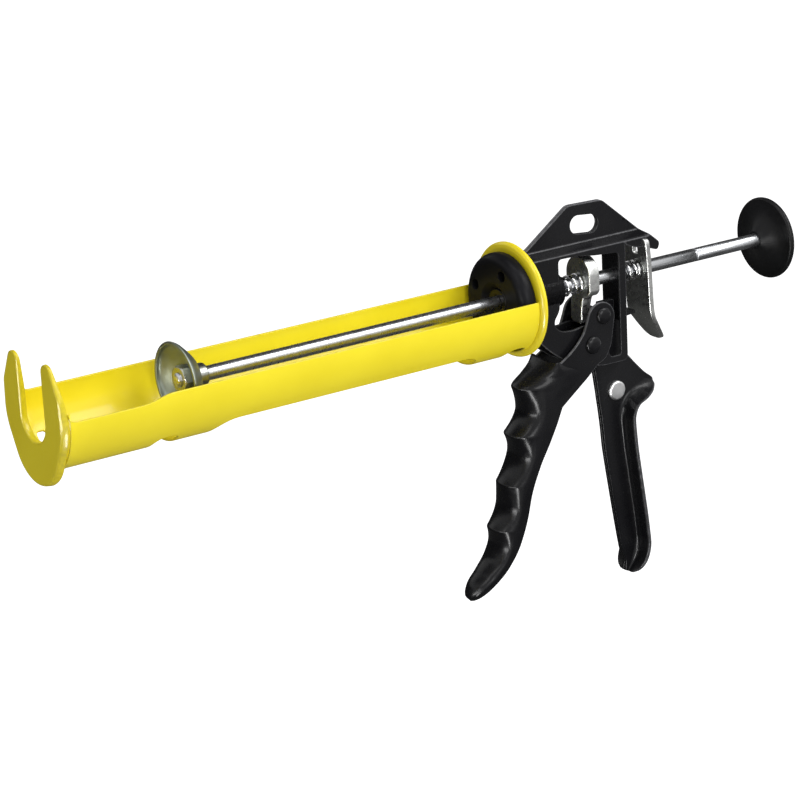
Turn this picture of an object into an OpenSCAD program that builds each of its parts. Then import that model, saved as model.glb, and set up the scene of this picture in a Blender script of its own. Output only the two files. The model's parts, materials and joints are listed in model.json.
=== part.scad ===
// Caulking gun with a turning cradle for 50 mm cartridges.
// The origin is on the rod's axis, on the inner face of the cradle's front plate, where a cartridge's shoulder seats.
// X runs back along the rod to the knob, Z is up, and -Y is the gun's left side.

/* [Cradle] */
// Inner radius of the trough, for cartridges up to 50 mm across
trough_r = 25.2; // [24:0.1:27]
// Length from the front plate's inner face to the rear ring
cradle_len = 261; // [240:1:300]
// Sheet thickness of the trough
sheet = 1.2; // [1:0.1:1.6]
// Height of the trough's side walls above the rod's axis
wall_top = 4; // [2:0.5:6]
// Half width of the nozzle slot in the front plate
slot_half = 11; // [9:0.5:12]
// Outer radius of the rear ring
ring_r = 29; // [28:0.5:31]

/* [Rod] */
// Radius of the push rod
rod_r = 3.5; // [3:0.1:4]
// Place of the piston disc along the rod's axis, with the rod as stored
piston_x = 70; // [60:1:90]
// Radius of the piston disc
piston_r = 18.6; // [16:0.2:22]
// Place of the knob's rim along the rod's axis
knob_x = 430; // [420:1:440]
// Radius of the knob
knob_r = 21.4; // [18:0.2:24]

/* [Frame] */
// Half width over the two frame plates
frame_half = 7.1; // [6.9:0.1:7.1]
// Thickness of the frame plates
frame_t = 1.5; // [1.2:0.1:1.5]
// Length of the hanging slot
hang_len = 17.5; // [14:0.5:18]
// Height of the hanging slot
hang_w = 9.5; // [7:0.5:10]

/* [Trigger and handle] */
// Half width over the trigger's grip at its top
grip_half = 11.8; // [11.6:0.1:13]
// Half width over the handle's rear flange
handle_half = 11; // [10:0.2:12]
// Sheet thickness of each handle half
handle_t = 1.8; // [1.5:0.1:2]
// Radius of the trigger's pivot rivet
pivot_r = 3.5; // [3:0.1:3.8]

/* [Hidden] */

YELLOW = [0.94, 0.86, 0.18];
BLACK = [0.10, 0.10, 0.11];
PLASTIC = [0.07, 0.07, 0.08];
STEEL = [0.70, 0.71, 0.73];

fit = 0.06;                    // radial clearance of running fits
seat = 0.15;                   // gap between faces that slide past each other
dish_deep = 7.2;               // depth of the piston disc's dish
wall_r = trough_r + sheet;     // outer radius of the trough
plate_t = 4;                   // thickness of the front plate
ring_x = cradle_len;           // front face of the rear ring
ring_deep = 3;
hub_r = 9;                     // radius of the ring's bearing hole
spindle_r = 7.4;
spindle_end = 290.5;           // rear end of the front bush
frame_in = frame_half - frame_t;
hang_at = [309, 30];
thrust_at = [312.5, -16.3];    // axis of the thrust pin in the side view
pivot_at = [305.3, -30.1];     // axis of the trigger's pivot in the side view
rivet_at = [326, -60.4];       // axis of the handle rivet in the side view
arm_in = 9;
arm_out = 10.6;
drive_x = 303.3;               // front face of the drive plate
drive_t = 6;
guide_x = 326;                 // front face of the rear guide
guide_t = 4.5;
lever_t = 2.9;

// ---- helpers ----------------------------------------------------------------

// Lays a side-view outline, drawn as [x, z], across the gun from y = low to y = high
module across(low, high) {
    translate([0, high, 0])
        rotate([90, 0, 0])
            linear_extrude(high - low)
                children();
}

// A solid of revolution about the rod's axis; the outline is drawn as [radius, x]
module turned(outline) {
    rotate([0, 90, 0])
        rotate_extrude($fn = 96)
            polygon(outline);
}

// A plain bar or bore along the rod's axis
module along(x, length, r) {
    translate([x, 0, 0])
        rotate([0, 90, 0])
            cylinder(h = length, r = r, $fn = 64);
}

// A pin or hole across the gun at a side-view place
module cross_pin(at, r, low, high) {
    translate([at[0], high, at[1]])
        rotate([90, 0, 0])
            cylinder(h = high - low, r = r, $fn = 48);
}

// A low domed rivet head, standing on the plane y = face and growing to the given side
module rivet_head(at, r, face, side, rise) {
    translate([at[0], face, at[1]])
        rotate([-90 * side, 0, 0])
            rotate_extrude($fn = 48)
                intersection() {
                    scale([1, rise / r])
                        circle(r = r, $fn = 48);
                    square([r, r]);
                }
}

// A hexagon nut on the rod's axis
module hex_nut(x, length, flats, bore) {
    difference() {
        translate([x, 0, 0])
            rotate([0, 90, 0])
                cylinder(h = length, d = flats / cos(30), $fn = 6);
        along(x - 1, length + 2, bore);
    }
}

// Steepness of a list of knots [z, value]: between two knots, and at a knot, where a crest or a hollow is level
function chord(k, i) = (k[i + 1][1] - k[i][1]) / (k[i + 1][0] - k[i][0]);
function slope(k, i) =
    i == 0 ? chord(k, 0) :
    i == len(k) - 1 ? chord(k, i - 1) :
    let (a = chord(k, i - 1), b = chord(k, i)) a * b <= 0 ? 0 : 2 * a * b / (a + b);

// Smooth value at z between knots [z, value], listed from the top down
function rail(z, k, i = 0) =
    z >= k[0][0] ? k[0][1] :
    i >= len(k) - 1 ? k[len(k) - 1][1] :
    z >= k[i + 1][0] ?
        let (h = k[i + 1][0] - k[i][0], s = (z - k[i][0]) / h, r = 1 - s)
            k[i][1] * (1 + 2 * s) * r * r + slope(k, i) * h * s * r * r
                + k[i + 1][1] * s * s * (3 - 2 * s) - slope(k, i + 1) * h * s * s * r :
    rail(z, k, i + 1);

// Skins a stack of closed sections, all with the same number of points
module skin(sections) {
    n = len(sections[0]);
    m = len(sections);
    polyhedron(
        points = [for (s = sections) each s],
        faces = concat(
            [[for (i = [0 : n - 1]) i]],
            [for (j = [0 : m - 2], i = [0 : n - 1], half = [0, 1])
                let (a = j * n + i, b = j * n + (i + 1) % n)
                    half == 0 ? [a, a + n, b] : [b, a + n, b + n]],
            [[for (i = [n - 1 : -1 : 0]) (m - 1) * n + i]]
        )
    );
}

// Arc as points about a centre
function arc(c, r, from, to, n = 12) =
    [for (i = [0 : n]) let (a = from + (to - from) * i / n) [c[0] + r * cos(a), c[1] + r * sin(a)]];

// ---- cradle -----------------------------------------------------------------

notch_x = 54.5;
window_from = 80;
window_to = 231;
window_half = 19;

module trough_tube() {
    difference() {
        along(0, cradle_len, wall_r);
        along(-1, cradle_len + 2, trough_r);
    }
}

// Everything above the walls' top edges; the left wall is lower at its front end
module above_walls() {
    translate([-1, -40, wall_top])
        cube([cradle_len + 2, 80, 60]);
    translate([0, -wall_r / 2, 0])
        across(-wall_r, 0)
            polygon([[-1, 1.4], [38, 1.4], [42, 1.9], [45, 3], [48, 3.7], [52, wall_top], [52, 30], [-1, 30]]);
}

module floor_hole(from, to, half, corner) {
    translate([0, 0, -40])
        linear_extrude(38)
            hull()
                for (x = [from + corner, to - corner], y = [-half + corner, half - corner])
                    translate([x, y])
                        circle(r = corner, $fn = 32);
}

module cradle_trough() {
    color(YELLOW)
        difference() {
            trough_tube();
            above_walls();
            floor_hole(notch_x - 6.5, notch_x + 6.5, 18, 6.4);
            floor_hole(window_from, window_to, window_half, 9);
            floor_hole(248, cradle_len - 1.5, 19, 5);
            translate([7.5, 2, -40])
                cube([4.5, 18.5, 38]);
        }
}

// Front view of the plate, drawn as [y, z]: a deep shield with two prongs beside the nozzle slot
module front_outline() {
    difference() {
        union() {
            hull() {
                circle(r = wall_r, $fn = 96);
                translate([0, -12])
                    circle(r = 20.9, $fn = 96);
            }
            for (side = [-1, 1])
                hull() {
                    translate([side * 14.6, 23.3])
                        circle(r = 3.6, $fn = 40);
                    translate([side * 18.5, 10])
                        circle(r = 7.4, $fn = 40);
                }
        }
        hull() {
            translate([0, -1.5])
                circle(r = slot_half, $fn = 64);
            translate([0, 40])
                circle(r = slot_half, $fn = 64);
        }
    }
}

// The plate's two prongs thin out towards their tips
module front_plate() {
    color(YELLOW)
        intersection() {
            rotate([90, 0, 90])
                translate([0, 0, -plate_t])
                    linear_extrude(plate_t)
                        front_outline();
            across(-40, 40)
                polygon([[-plate_t - 1, -40], [0, -40], [0, 5], [-1.9, 27], [-1.9, 40], [-plate_t - 1, 40]]);
        }
}

module rear_ring() {
    back = ring_x + ring_deep;
    color(YELLOW)
        turned([
            [hub_r, ring_x], [ring_r - 2.8, ring_x], [ring_r - 1.1, ring_x + 0.5], [ring_r, ring_x + 1.7],
            [ring_r, back], [ring_r - 1.2, back], [ring_r - 1.2, ring_x + 2.2], [ring_r - 2.2, ring_x + 1.5],
            [hub_r, ring_x + 1.5]
        ]);
}

// ---- swivel -----------------------------------------------------------------

nut_r = 24.6;

module swivel_nut() {
    face = ring_x - 8.5;
    color(PLASTIC)
        difference() {
            turned(concat(
                [[hub_r - 1.9, ring_x - seat], [hub_r - 1.9, face + 2.6], [hub_r, face + 1.2], [hub_r + 1.6, face + 0.2]],
                [[nut_r - 6.5, face]],
                arc([nut_r - 5, face + 5], 5, -75, 0, 8),
                [[nut_r, ring_x - 1.4], [nut_r - 0.8, ring_x - seat]]
            ));
            for (turn = [25 : 90 : 295])
                rotate([turn, 0, 0])
                    translate([0, 16.5, 0])
                        along(face - 1, 5, 2.6);
        }
}

module swivel_spindle() {
    color(BLACK)
        difference() {
            union() {
                along(ring_x - 6.5, spindle_end - ring_x + 6.5, hub_r - 2);
                along(ring_x - seat, 8, hub_r - fit);
                along(ring_x + 6.2, 2.4, 12.5);
                along(ring_x + 7, spindle_end - ring_x - 7, spindle_r);
            }
            along(ring_x - 10, 60, rod_r + fit);
        }
}

module swivel_washer() {
    color(STEEL)
        difference() {
            along(ring_x + 1.5 + seat, 4.4, 12.4);
            along(ring_x, 10, hub_r + 0.1);
        }
}

// ---- frame ------------------------------------------------------------------

shelf_z = 21.2;     // lower edge of the flat top plate
bend_z = 18.4;      // upper edge of the spread side walls

module top_outline() {
    difference() {
        polygon(concat(
            [[270, shelf_z], [273.6, 23.4]],
            arc([301.9, 39.2], 2, 122, 92, 4),
            arc([318.5, 38.6], 2, 88, 50, 4),
            [[351, 14.2]],
            arc([351.3, 11.8], 2.2, 45, -95, 6),
            [[346.5, 11.4], [344.4, 12.9], [342.6, 12.2], [338, 13.4], [332, 15.6], [330.4, shelf_z - 3]],
            [[329.8, shelf_z]]
        ));
        hull()
            for (s = [-1, 1])
                translate([hang_at[0] + s * (hang_len - hang_w) / 2, hang_at[1] - s * 0.4])
                    circle(d = hang_w, $fn = 48);
    }
}

// Side wall: a front post, a lower bar through the pivot and a slim rear post
module wall_outline() {
    difference() {
        polygon([
            [269.6, bend_z], [330.5, bend_z], [330.5, -40], [329.2, -42.8], [326.5, -44], [313, -43.6],
            [303, -40.4], [293, -38], [281, -29.6], [273.5, -22], [269.6, -15]
        ]);
        offset(r = 2.2)
            offset(r = -2.2)
                polygon([
                    [288, 15.9], [326, 15.9], [326, -40.5], [319.5, -40.5], [314.5, -31], [310.8, -22.4],
                    [303.6, -20.2], [296, -21.5], [288.4, -20.6], [284.6, -17.4], [284.6, -14], [288, -9.5]
                ]);
        translate([pivot_at[0], pivot_at[1]])
            circle(r = pivot_r, $fn = 48);
    }
}

// The wall on the +Y side; the other one mirrors it
module side_plate() {
    difference() {
        union() {
            across(0.02, frame_t)
                top_outline();
            translate([269.6, 0, 0])
                rotate([90, 0, 90])
                    linear_extrude(60.9)
                        polygon([
                            [0.02, shelf_z], [frame_t, shelf_z + 0.6], [frame_half, bend_z + 0.5],
                            [frame_half, bend_z - 0.4], [frame_in, bend_z - 0.4], [frame_in, bend_z],
                            [0.02, shelf_z - 1.7]
                        ]);
            across(frame_in, frame_half)
                wall_outline();
            intersection() {
                along(ring_x + 10.4, spindle_end - ring_x - 10.4, 9);
                translate([260, frame_in, -10])
                    cube([40, 10, 20]);
            }
        }
        along(ring_x + 5, 50, spindle_r + 0.02);
    }
}

module frame_side_right() {
    color(BLACK)
        side_plate();
}

module frame_side_left() {
    color(BLACK)
        mirror([0, 1, 0])
            side_plate();
}

// Block between the rear posts: it guides the rod and backs the release spring
module rear_guide() {
    color(BLACK)
        difference() {
            union() {
                across(-frame_in, frame_in)
                    polygon([
                        [guide_x, 15.4], [guide_x + guide_t, 15.4], [guide_x + guide_t, -21],
                        [guide_x + 3, -22.5], [guide_x, -22.5]
                    ]);
                along(guide_x + guide_t, 0.7, 6.6);
                across(-4, 4)
                    polygon([[guide_x + 4, -19], [guide_x + 12, -19.8], [guide_x + 12, -21.4], [guide_x + 4, -22]]);
            }
            along(guide_x - 1, guide_t + 4, rod_r + fit);
        }
}

// ---- rod --------------------------------------------------------------------

module push_rod() {
    groove_x = 380;
    color(STEEL)
        difference() {
            union() {
                along(piston_x + 1.3, knob_x - piston_x - 6.8, rod_r);
                turned([[0, piston_x + 0.5], [rod_r - 0.8, piston_x + 0.5], [rod_r, piston_x + 1.3], [0, piston_x + 1.3]]);
            }
            translate([groove_x, 0, 0])
                rotate([0, 90, 0])
                    difference() {
                        cylinder(h = 1.2, r = rod_r + 1, $fn = 64);
                        translate([0, 0, -0.1])
                            cylinder(h = 1.4, r = rod_r - 0.35, $fn = 64);
                    }
        }
}

// Dished disc that pushes the cartridge's plug with its rim
module piston_disc() {
    back = piston_x + dish_deep;
    color(STEEL)
        turned([
            [rod_r, back], [9.4, back], [10.6, back - 0.5], [piston_r - 1.8, piston_x + 2.2],
            [piston_r - 1.5, piston_x], [piston_r, piston_x], [piston_r, piston_x + 2.2],
            [piston_r - 0.6, piston_x + 3.4], [11.2, back + 1.1], [9.8, back + 1.5], [rod_r, back + 1.5]
        ]);
}

module piston_nut() {
    color(STEEL)
        hex_nut(piston_x + dish_deep - 5.2, 5.2, 12, rod_r);
}

module piston_collar() {
    start = piston_x + dish_deep + 1.5;
    color(STEEL)
        difference() {
            turned([[0, start], [7.2, start], [7.2, start + 1.4], [5.6, start + 2.2],
                    [5.6, start + 6.4], [4.8, start + 7.2], [0, start + 7.2]]);
            along(piston_x, 30, rod_r);
        }
}

module rod_knob() {
    color(PLASTIC)
        turned(concat(
            [[rod_r, knob_x - 7.6], [5, knob_x - 7.6], [5.9, knob_x - 6.6]],
            [for (i = [0 : 8]) let (s = i / 8) [6 + 9.6 * s, knob_x - 6.2 + 4.2 * s * s]],
            [[knob_r - 2.6, knob_x - 1.5]],
            arc([knob_r - 1.9, knob_x], 1.9, -60, 80, 8),
            [[knob_r - 4, knob_x + 2.4], [13, knob_x + 3.4], [7.4, knob_x + 3.7], [7.4, knob_x - 5.9], [rod_r, knob_x - 5.9]]
        ));
}

// Press cap that holds the knob on the rod's end
module knob_cap() {
    color(PLASTIC)
        difference() {
            turned([[0, knob_x + 4.4], [5, knob_x + 4.3], [7.3, knob_x + 3.4], [7.3, knob_x - 5.8], [0, knob_x - 5.8]]);
            along(knob_x - 7, 3.1, rod_r);
        }
}

// ---- drive ------------------------------------------------------------------

// A compression spring round the rod, wound by a swept circle of the wire
module coil_spring(x0, x1, mean_r, wire_r, turns) {
    steps = round(turns * 20);
    rise = x1 - x0 - 2 * wire_r;
    skin([for (i = [0 : steps])
        let (
            s = i / steps, a = 360 * turns * s,
            flat = min(1, max(0, (s * turns - 0.7) / (turns - 1.4))),
            x = x0 + wire_r + rise * (0.12 * s + 0.88 * flat)
        )
            [for (k = [0 : 7])
                let (b = -45 * k, r = mean_r + wire_r * cos(b))
                    [x + wire_r * sin(b), r * cos(a), r * sin(a)]]]);
}

module drive_spring() {
    color(STEEL)
        coil_spring(spindle_end + 0.1, drive_x - 0.1, 4.55, 0.8, 3.9);
}

// Hardened plate that grips the rod: an arched head in the windows and a slim tail for the thrust pin
module drive_plate() {
    color(STEEL)
        difference() {
            translate([drive_x, 0, 0])
                rotate([90, 0, 90])
                    linear_extrude(drive_t)
                        polygon(concat(
                            arc([0, 4.4], 9.6, 0, 180, 24),
                            [[-9.6, -3.6], [-8.4, -5.4], [-4.5, -6.8], [-4.5, -18.6], [-2.6, -20.4]],
                            [[2.6, -20.4], [4.5, -18.6], [4.5, -6.8], [8.4, -5.4], [9.6, -3.6]]
                        ));
            along(drive_x - 1, drive_t + 2, rod_r + fit);
        }
}

module release_spring() {
    color(STEEL)
        coil_spring(guide_x + guide_t + 0.8, 342.0, 4.45, 0.7, 3.6);
}

// Side view of the release lever's sheet, leaning back to its thumb tab
function lever_side(t) = [
    [341.3, 17.6], [342.3, 6], [343.3, -8], [344.2, -20], [344.8, -23.6], [347.4, -29.4], [354, -38.9],
    [354 + t, -38.9], [347.6 + t, -28.8], [345.4 + t, -23.4], [344.2 + t, -19.6], [343.3 + t, -8],
    [342.3 + t, 6], [341.3 + t, 17.6]
];

module release_lever() {
    color(STEEL)
        difference() {
            intersection() {
                across(-9, 9)
                    polygon(lever_side(lever_t));
                translate([330, 0, 0])
                    rotate([90, 0, 90])
                        linear_extrude(40)
                            polygon(concat(
                                arc([2.6, 11.2], 6.4, 0, 90, 8), arc([-2.6, 11.2], 6.4, 90, 180, 8),
                                [[-9, -25], [-7.9, -30]], arc([0, -33], 5.8, 205, 335, 10), [[7.9, -30], [9, -25]]
                            ));
            }
            along(330, 30, rod_r + 0.45);
            translate([330, -frame_t - 0.35, 8.6])
                cube([30, 2 * frame_t + 0.7, 20]);
        }
}

// ---- trigger ----------------------------------------------------------------

module arm_outline() {
    difference() {
        polygon(concat(
            arc([311.1, -17.6], 8.5, -12, 158, 16),
            [[302.2, -17.4], [299.8, -23.3], [295, -28.6], [289.6, -32.7], [281, -37.4], [277, -42.5],
             [275, -56], [275, -63], [279, -63], [290.5, -54.5], [301.5, -46.6], [308.2, -41],
             [313.4, -38.9], [317, -32.6]]
        ));
        translate([thrust_at[0], thrust_at[1]])
            circle(r = 3, $fn = 48);
        translate([pivot_at[0], pivot_at[1]])
            circle(r = pivot_r + fit, $fn = 48);
    }
}

module trigger_arm_left() {
    color(BLACK)
        across(-arm_out, -arm_in)
            arm_outline();
}

module trigger_arm_right() {
    color(BLACK)
        across(arm_in, arm_out)
            arm_outline();
}

// Front edge of the grip: a crest above each of the four finger hollows, then the toe
grip_front = [
    [-34.5, 281], [-37.5, 277], [-41.5, 269.5], [-46.5, 263], [-59.2, 266.8], [-69.8, 257.7], [-80.5, 261.4],
    [-94.4, 252.4], [-105, 252.9], [-116.6, 245.1], [-124, 246.8], [-131, 244], [-138, 236.6], [-144, 230.4],
    [-148.5, 228.6], [-151, 230.4]
];
grip_rear = [
    [-34.5, 284], [-37.5, 290], [-40, 299], [-42.2, 304.5], [-46.1, 302.6], [-52.5, 294.2], [-59.9, 289.4], [-75.6, 279.7],
    [-86.2, 272.5], [-99.9, 266.2], [-112.5, 263.4], [-125.5, 258.3], [-135.2, 251.1], [-142.6, 243.2], [-148, 237],
    [-151, 232.4]
];
grip_width = [[-34.5, 11.2], [-40, 11.8], [-60, 11.6], [-100, 10.6], [-130, 9.4], [-142, 8], [-148, 5.8], [-151, 3]];

// Level section of the grip, a rounded rectangle with soft corners; inset shrinks it, and open moves its rear edge back
function grip_section(z, inset, open) =
    let (
        xf = rail(z, grip_front) + 1.8 * inset, xr = rail(z, grip_rear) + open,
        w = rail(z, grip_width) * grip_half / 11.8 - inset,
        c = (xf + xr) / 2, h = (xr - xf) / 2
    )
        [for (i = [0 : 27])
            let (a = -360 * i / 28, p = 0.62)
                [c + h * sign(cos(a)) * pow(abs(cos(a)), p), w * sign(sin(a)) * pow(abs(sin(a)), p), z]];

module trigger_grip() {
    top = -34.6;
    toe = -151;
    hollow_toe = -137;
    color(BLACK)
        difference() {
            skin([for (i = [0 : 52]) grip_section(top + (toe - top) * i / 52, 0, 0)]);
            skin([for (i = [0 : 24]) grip_section(top + 1 + (hollow_toe - top - 1) * i / 24, 1.2, 14)]);
            cross_pin(pivot_at, 19, -arm_out, arm_out);
            for (low = [-arm_out - 0.03, arm_in - 0.03])
                across(low, low + arm_out - arm_in + 0.06)
                    offset(delta = 0.03)
                        arm_outline();
        }
}

// Cross pin at the top of the arms, which pushes the drive plate's tail
module thrust_pin() {
    color(BLACK)
        union() {
            cross_pin(thrust_at, 3, -arm_out, arm_out);
            rivet_head(thrust_at, 4.4, arm_out, 1, 2);
            rivet_head(thrust_at, 4.4, -arm_out, -1, 2);
        }
}

module trigger_pivot() {
    head = arm_out + seat;
    color(BLACK)
        union() {
            cross_pin(pivot_at, pivot_r, -head, head);
            rivet_head(pivot_at, 4.6, head, 1, 2.1);
            rivet_head(pivot_at, 4.6, -head, -1, 2.1);
        }
}

// Two rings hold the handle's tongue in the middle between the side walls
module pivot_spacers() {
    color(STEEL)
        difference() {
            for (low = [-frame_in, handle_t])
                cross_pin(pivot_at, 5.2, low, low + frame_in - handle_t);
            cross_pin(pivot_at, pivot_r, -frame_in - 1, frame_in + 1);
        }
}

// ---- handle -----------------------------------------------------------------

// Side view of a handle half: the tongue between the side walls, the spur under the knob, and the web down to the toe
module handle_outline() {
    polygon([
        [317.6, -12.4], [guide_x, -12.4], [guide_x, -22.7], [330.4, -22.7], [330.6, -40], [342.2, -50.6],
        [350.4, -59.6], [351.4, -62], [350.6, -64.4], [348, -66], [341.4, -68], [334.8, -69], [332.2, -71],
        [331.1, -75.5], [331.3, -82], [332.7, -92], [334, -103.3], [336, -114.7], [337.6, -126], [338.9, -137],
        [339.1, -143], [338.6, -148], [337, -152.6], [334.8, -156.6], [332.6, -159.6], [330.6, -161],
        [329.2, -160.4], [329.4, -158], [330, -154.6], [329.6, -151], [327.5, -147], [325, -131.5],
        [318.4, -88.7], [313.4, -47.3], [311.2, -41], [302, -39.6], [297.6, -36], [296.4, -30], [298.6, -24.6],
        [304, -21.8], [312, -22.6], [316.2, -20]
    ]);
}

// Rear edge of the web, where the sheet bends out into the flange
module flange_side() {
    intersection() {
        difference() {
            handle_outline();
            offset(delta = -handle_t)
                handle_outline();
        }
        polygon([
            [356, -60.6], [349.6, -61.4], [342, -64], [334, -65], [329, -67], [326, -72], [327, -90], [331, -120],
            [334, -148], [327, -156], [326, -165], [356, -165]
        ]);
    }
}

// Rear view of one flange, drawn as [y, z]: it grows out of the spur and ends in a round toe
module flange_rear() {
    tip = handle_half;
    polygon(concat(
        [[0.02, -58], [1.8, -61.4], [4.6, -65.4], [tip - 2.4, -68.2], [tip - 0.8, -70], [tip, -73], [tip, -146]],
        [for (a = [0 : 10 : 80]) [tip * cos(a), -147 - 14.2 * sin(a)]],
        [[0.02, -161.4]]
    ));
}

// The half on the +Y side: a flat web with its rear edge bent out into a flange
module handle_half() {
    bend_r = 1.8;
    bend_from = [327.9, -76];
    bend_to = [334.9, -146];
    difference() {
        union() {
            across(0.02, handle_t)
                handle_outline();
            intersection() {
                across(0.02, handle_half + 1)
                    flange_side();
                translate([290, 0, 0])
                    rotate([90, 0, 90])
                        linear_extrude(80)
                            flange_rear();
            }
            translate([bend_from[0], handle_t, bend_from[1]])
                rotate([0, 180 - atan2(bend_to[0] - bend_from[0], bend_from[1] - bend_to[1]), 0])
                    linear_extrude(norm(bend_to - bend_from))
                        polygon(concat(
                            arc([0, bend_r], bend_r, 270, 180, 6),
                            [[-bend_r - 0.4, bend_r], [-bend_r - 0.4, -0.4], [0, -0.4]]
                        ));
        }
        cross_pin(pivot_at, pivot_r, -1, 4);
        cross_pin(rivet_at, 3, -1, 4);
    }
}

module handle_half_right() {
    color(BLACK)
        handle_half();
}

module handle_half_left() {
    color(BLACK)
        mirror([0, 1, 0])
            handle_half();
}

// Bright shouldered rivet that holds the two halves together
module handle_rivet() {
    color(STEEL)
        union() {
            cross_pin(rivet_at, 3, -handle_t, handle_t);
            for (side = [-1, 1])
                translate([rivet_at[0], side * handle_t, rivet_at[1]])
                    rotate([-90 * side, 0, 0])
                        rotate_extrude($fn = 48)
                            polygon([[0, 0], [5.2, 0], [5.2, 1.2], [4.5, 1.9], [0, 1.9]]);
        }
}

cradle_trough();
front_plate();
rear_ring();
swivel_nut();
swivel_spindle();
swivel_washer();
frame_side_left();
frame_side_right();
rear_guide();
push_rod();
piston_disc();
piston_nut();
piston_collar();
rod_knob();
knob_cap();
drive_spring();
drive_plate();
release_spring();
release_lever();
trigger_arm_left();
trigger_arm_right();
trigger_grip();
thrust_pin();
trigger_pivot();
pivot_spacers();
handle_half_left();
handle_half_right();
handle_rivet();
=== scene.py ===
"""Looks of a caulking gun with a turning cradle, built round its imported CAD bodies.

Every sub-assembly of the gun is a class below. Its fields are sizes in millimetres, in the frame of the
CAD model: X runs back along the push rod from the cradle's front plate, Z is up and -Y is the left side.
"""

import json
import logging
import math
from collections.abc import Callable, Sequence
from dataclasses import dataclass, field, replace
from enum import Enum
from typing import NamedTuple

import bmesh
import bpy
import numpy as np
from mathutils import Matrix, Vector
from mathutils.geometry import delaunay_2d_cdt


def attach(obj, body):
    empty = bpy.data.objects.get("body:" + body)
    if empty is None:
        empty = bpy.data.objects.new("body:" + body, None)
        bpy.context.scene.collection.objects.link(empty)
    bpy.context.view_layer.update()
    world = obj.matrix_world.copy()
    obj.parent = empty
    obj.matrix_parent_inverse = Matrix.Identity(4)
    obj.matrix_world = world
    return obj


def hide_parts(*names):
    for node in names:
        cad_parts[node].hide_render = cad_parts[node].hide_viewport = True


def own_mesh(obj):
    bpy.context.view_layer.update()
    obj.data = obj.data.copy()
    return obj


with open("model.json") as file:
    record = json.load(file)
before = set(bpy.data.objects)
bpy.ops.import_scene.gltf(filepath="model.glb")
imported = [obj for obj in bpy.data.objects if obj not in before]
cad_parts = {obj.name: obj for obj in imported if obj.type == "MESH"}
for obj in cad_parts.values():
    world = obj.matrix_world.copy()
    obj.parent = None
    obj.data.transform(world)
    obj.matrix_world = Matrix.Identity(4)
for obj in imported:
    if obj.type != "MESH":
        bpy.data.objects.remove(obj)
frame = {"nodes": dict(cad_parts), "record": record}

LOG = logging.getLogger("caulking_gun")
MM = 0.001
RIM_ROW = 1.25  # how far in the last row of a blank's rim lies, in radii of its rounded edge
SPINDLE_END = 290.5  # rear end of the spindle and of its barrel along X

Array = np.ndarray
Points = Array | Sequence[Sequence[float]]
Colour = tuple[float, float, float]
Vec = tuple[float, float, float]
Place = Callable[[Array, Array, Array], Array]
Piece = bpy.types.Object
Tree = bpy.types.NodeTree
Socket = bpy.types.NodeSocket


class Body(Enum):
    """CAD bodies that pieces ride on."""

    CRADLE = "cradle"
    FRAME = "frame"
    ROD = "rod"
    DRIVE = "drive"
    RELEASE = "release"
    TRIGGER = "trigger"


class Slot(Enum):
    """Material slots of the record that a piece can take its finish from."""

    CRADLE_PAINT = "cradle_paint"
    FRAME_PAINT = "frame_paint"
    PLASTIC = "black_plastic"
    ROD_STEEL = "rod_steel"
    ZINC = "zinc_steel"
    SPRING = "spring_steel"
    RIVET = "bright_rivet"


class Side(Enum):
    """The gun's two sides, as the sign of Y."""

    LEFT = -1
    RIGHT = 1


# ---- curves and outlines ---------------------------------------------------------------


def arc(centre: Sequence[float], radius: float, start: float, stop: float, count: int = 16) -> Array:
    """Points on a circle: centre + radius * (cos a, sin a), with a from start to stop in degrees.

    Args:
        centre: Centre of the circle.
        radius: Its radius.
        start: First angle in degrees.
        stop: Last angle in degrees.
        count: Number of points.

    Returns:
        Points, shape (count, 2).
    """
    a = np.radians(np.linspace(start, stop, count))
    return np.stack([centre[0] + radius * np.cos(a), centre[1] + radius * np.sin(a)], axis=1)


def disc(centre: Sequence[float], radius: float, count: int = 40) -> Array:
    """A closed circle of points."""
    return arc(centre, radius, 0, 360, count + 1)[:-1]


def mirror(half: Array) -> Array:
    """The mirror image of a half outline, run the other way so that it closes the whole."""
    return (half * np.array([-1, 1]))[::-1]


def join(*parts: Points) -> Array:
    """One outline from several runs of points, placed end to end."""
    return np.concatenate([np.asarray(p, float).reshape(-1, 2) for p in parts])


def soften(points: Points, radius: float | Array, steps: int = 5, closed: bool = True) -> Array:
    """Rounds every corner of an outline.

    Each corner P becomes the parabola (1-s)^2 A + 2s(1-s) P + s^2 B, where A and B lie on the two sides
    at the corner's radius from P, or at 45% of the shorter side.

    Args:
        points: Corners, shape (n, 2).
        radius: How far from the corner the rounding starts, one value or one per corner.
        steps: Points per corner.
        closed: Whether the last corner joins the first one; if not, both ends stay sharp.

    Returns:
        Points of the rounded outline.
    """
    p = np.asarray(points, float)
    before, after = np.roll(p, 1, axis=0) - p, np.roll(p, -1, axis=0) - p
    len_before, len_after = np.linalg.norm(before, axis=1), np.linalg.norm(after, axis=1)
    reach = np.minimum(np.broadcast_to(radius, len(p)), 0.45 * np.minimum(len_before, len_after))[:, None]
    a = p + before / len_before[:, None] * reach
    b = p + after / len_after[:, None] * reach
    s = np.linspace(0, 1, steps)[None, :, None]
    bends = (1 - s) ** 2 * a[:, None] + 2 * s * (1 - s) * p[:, None] + s**2 * b[:, None]
    if closed:
        return bends.reshape(-1, 2)
    return np.concatenate([p[:1], bends[1:-1].reshape(-1, 2), p[-1:]])


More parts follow.
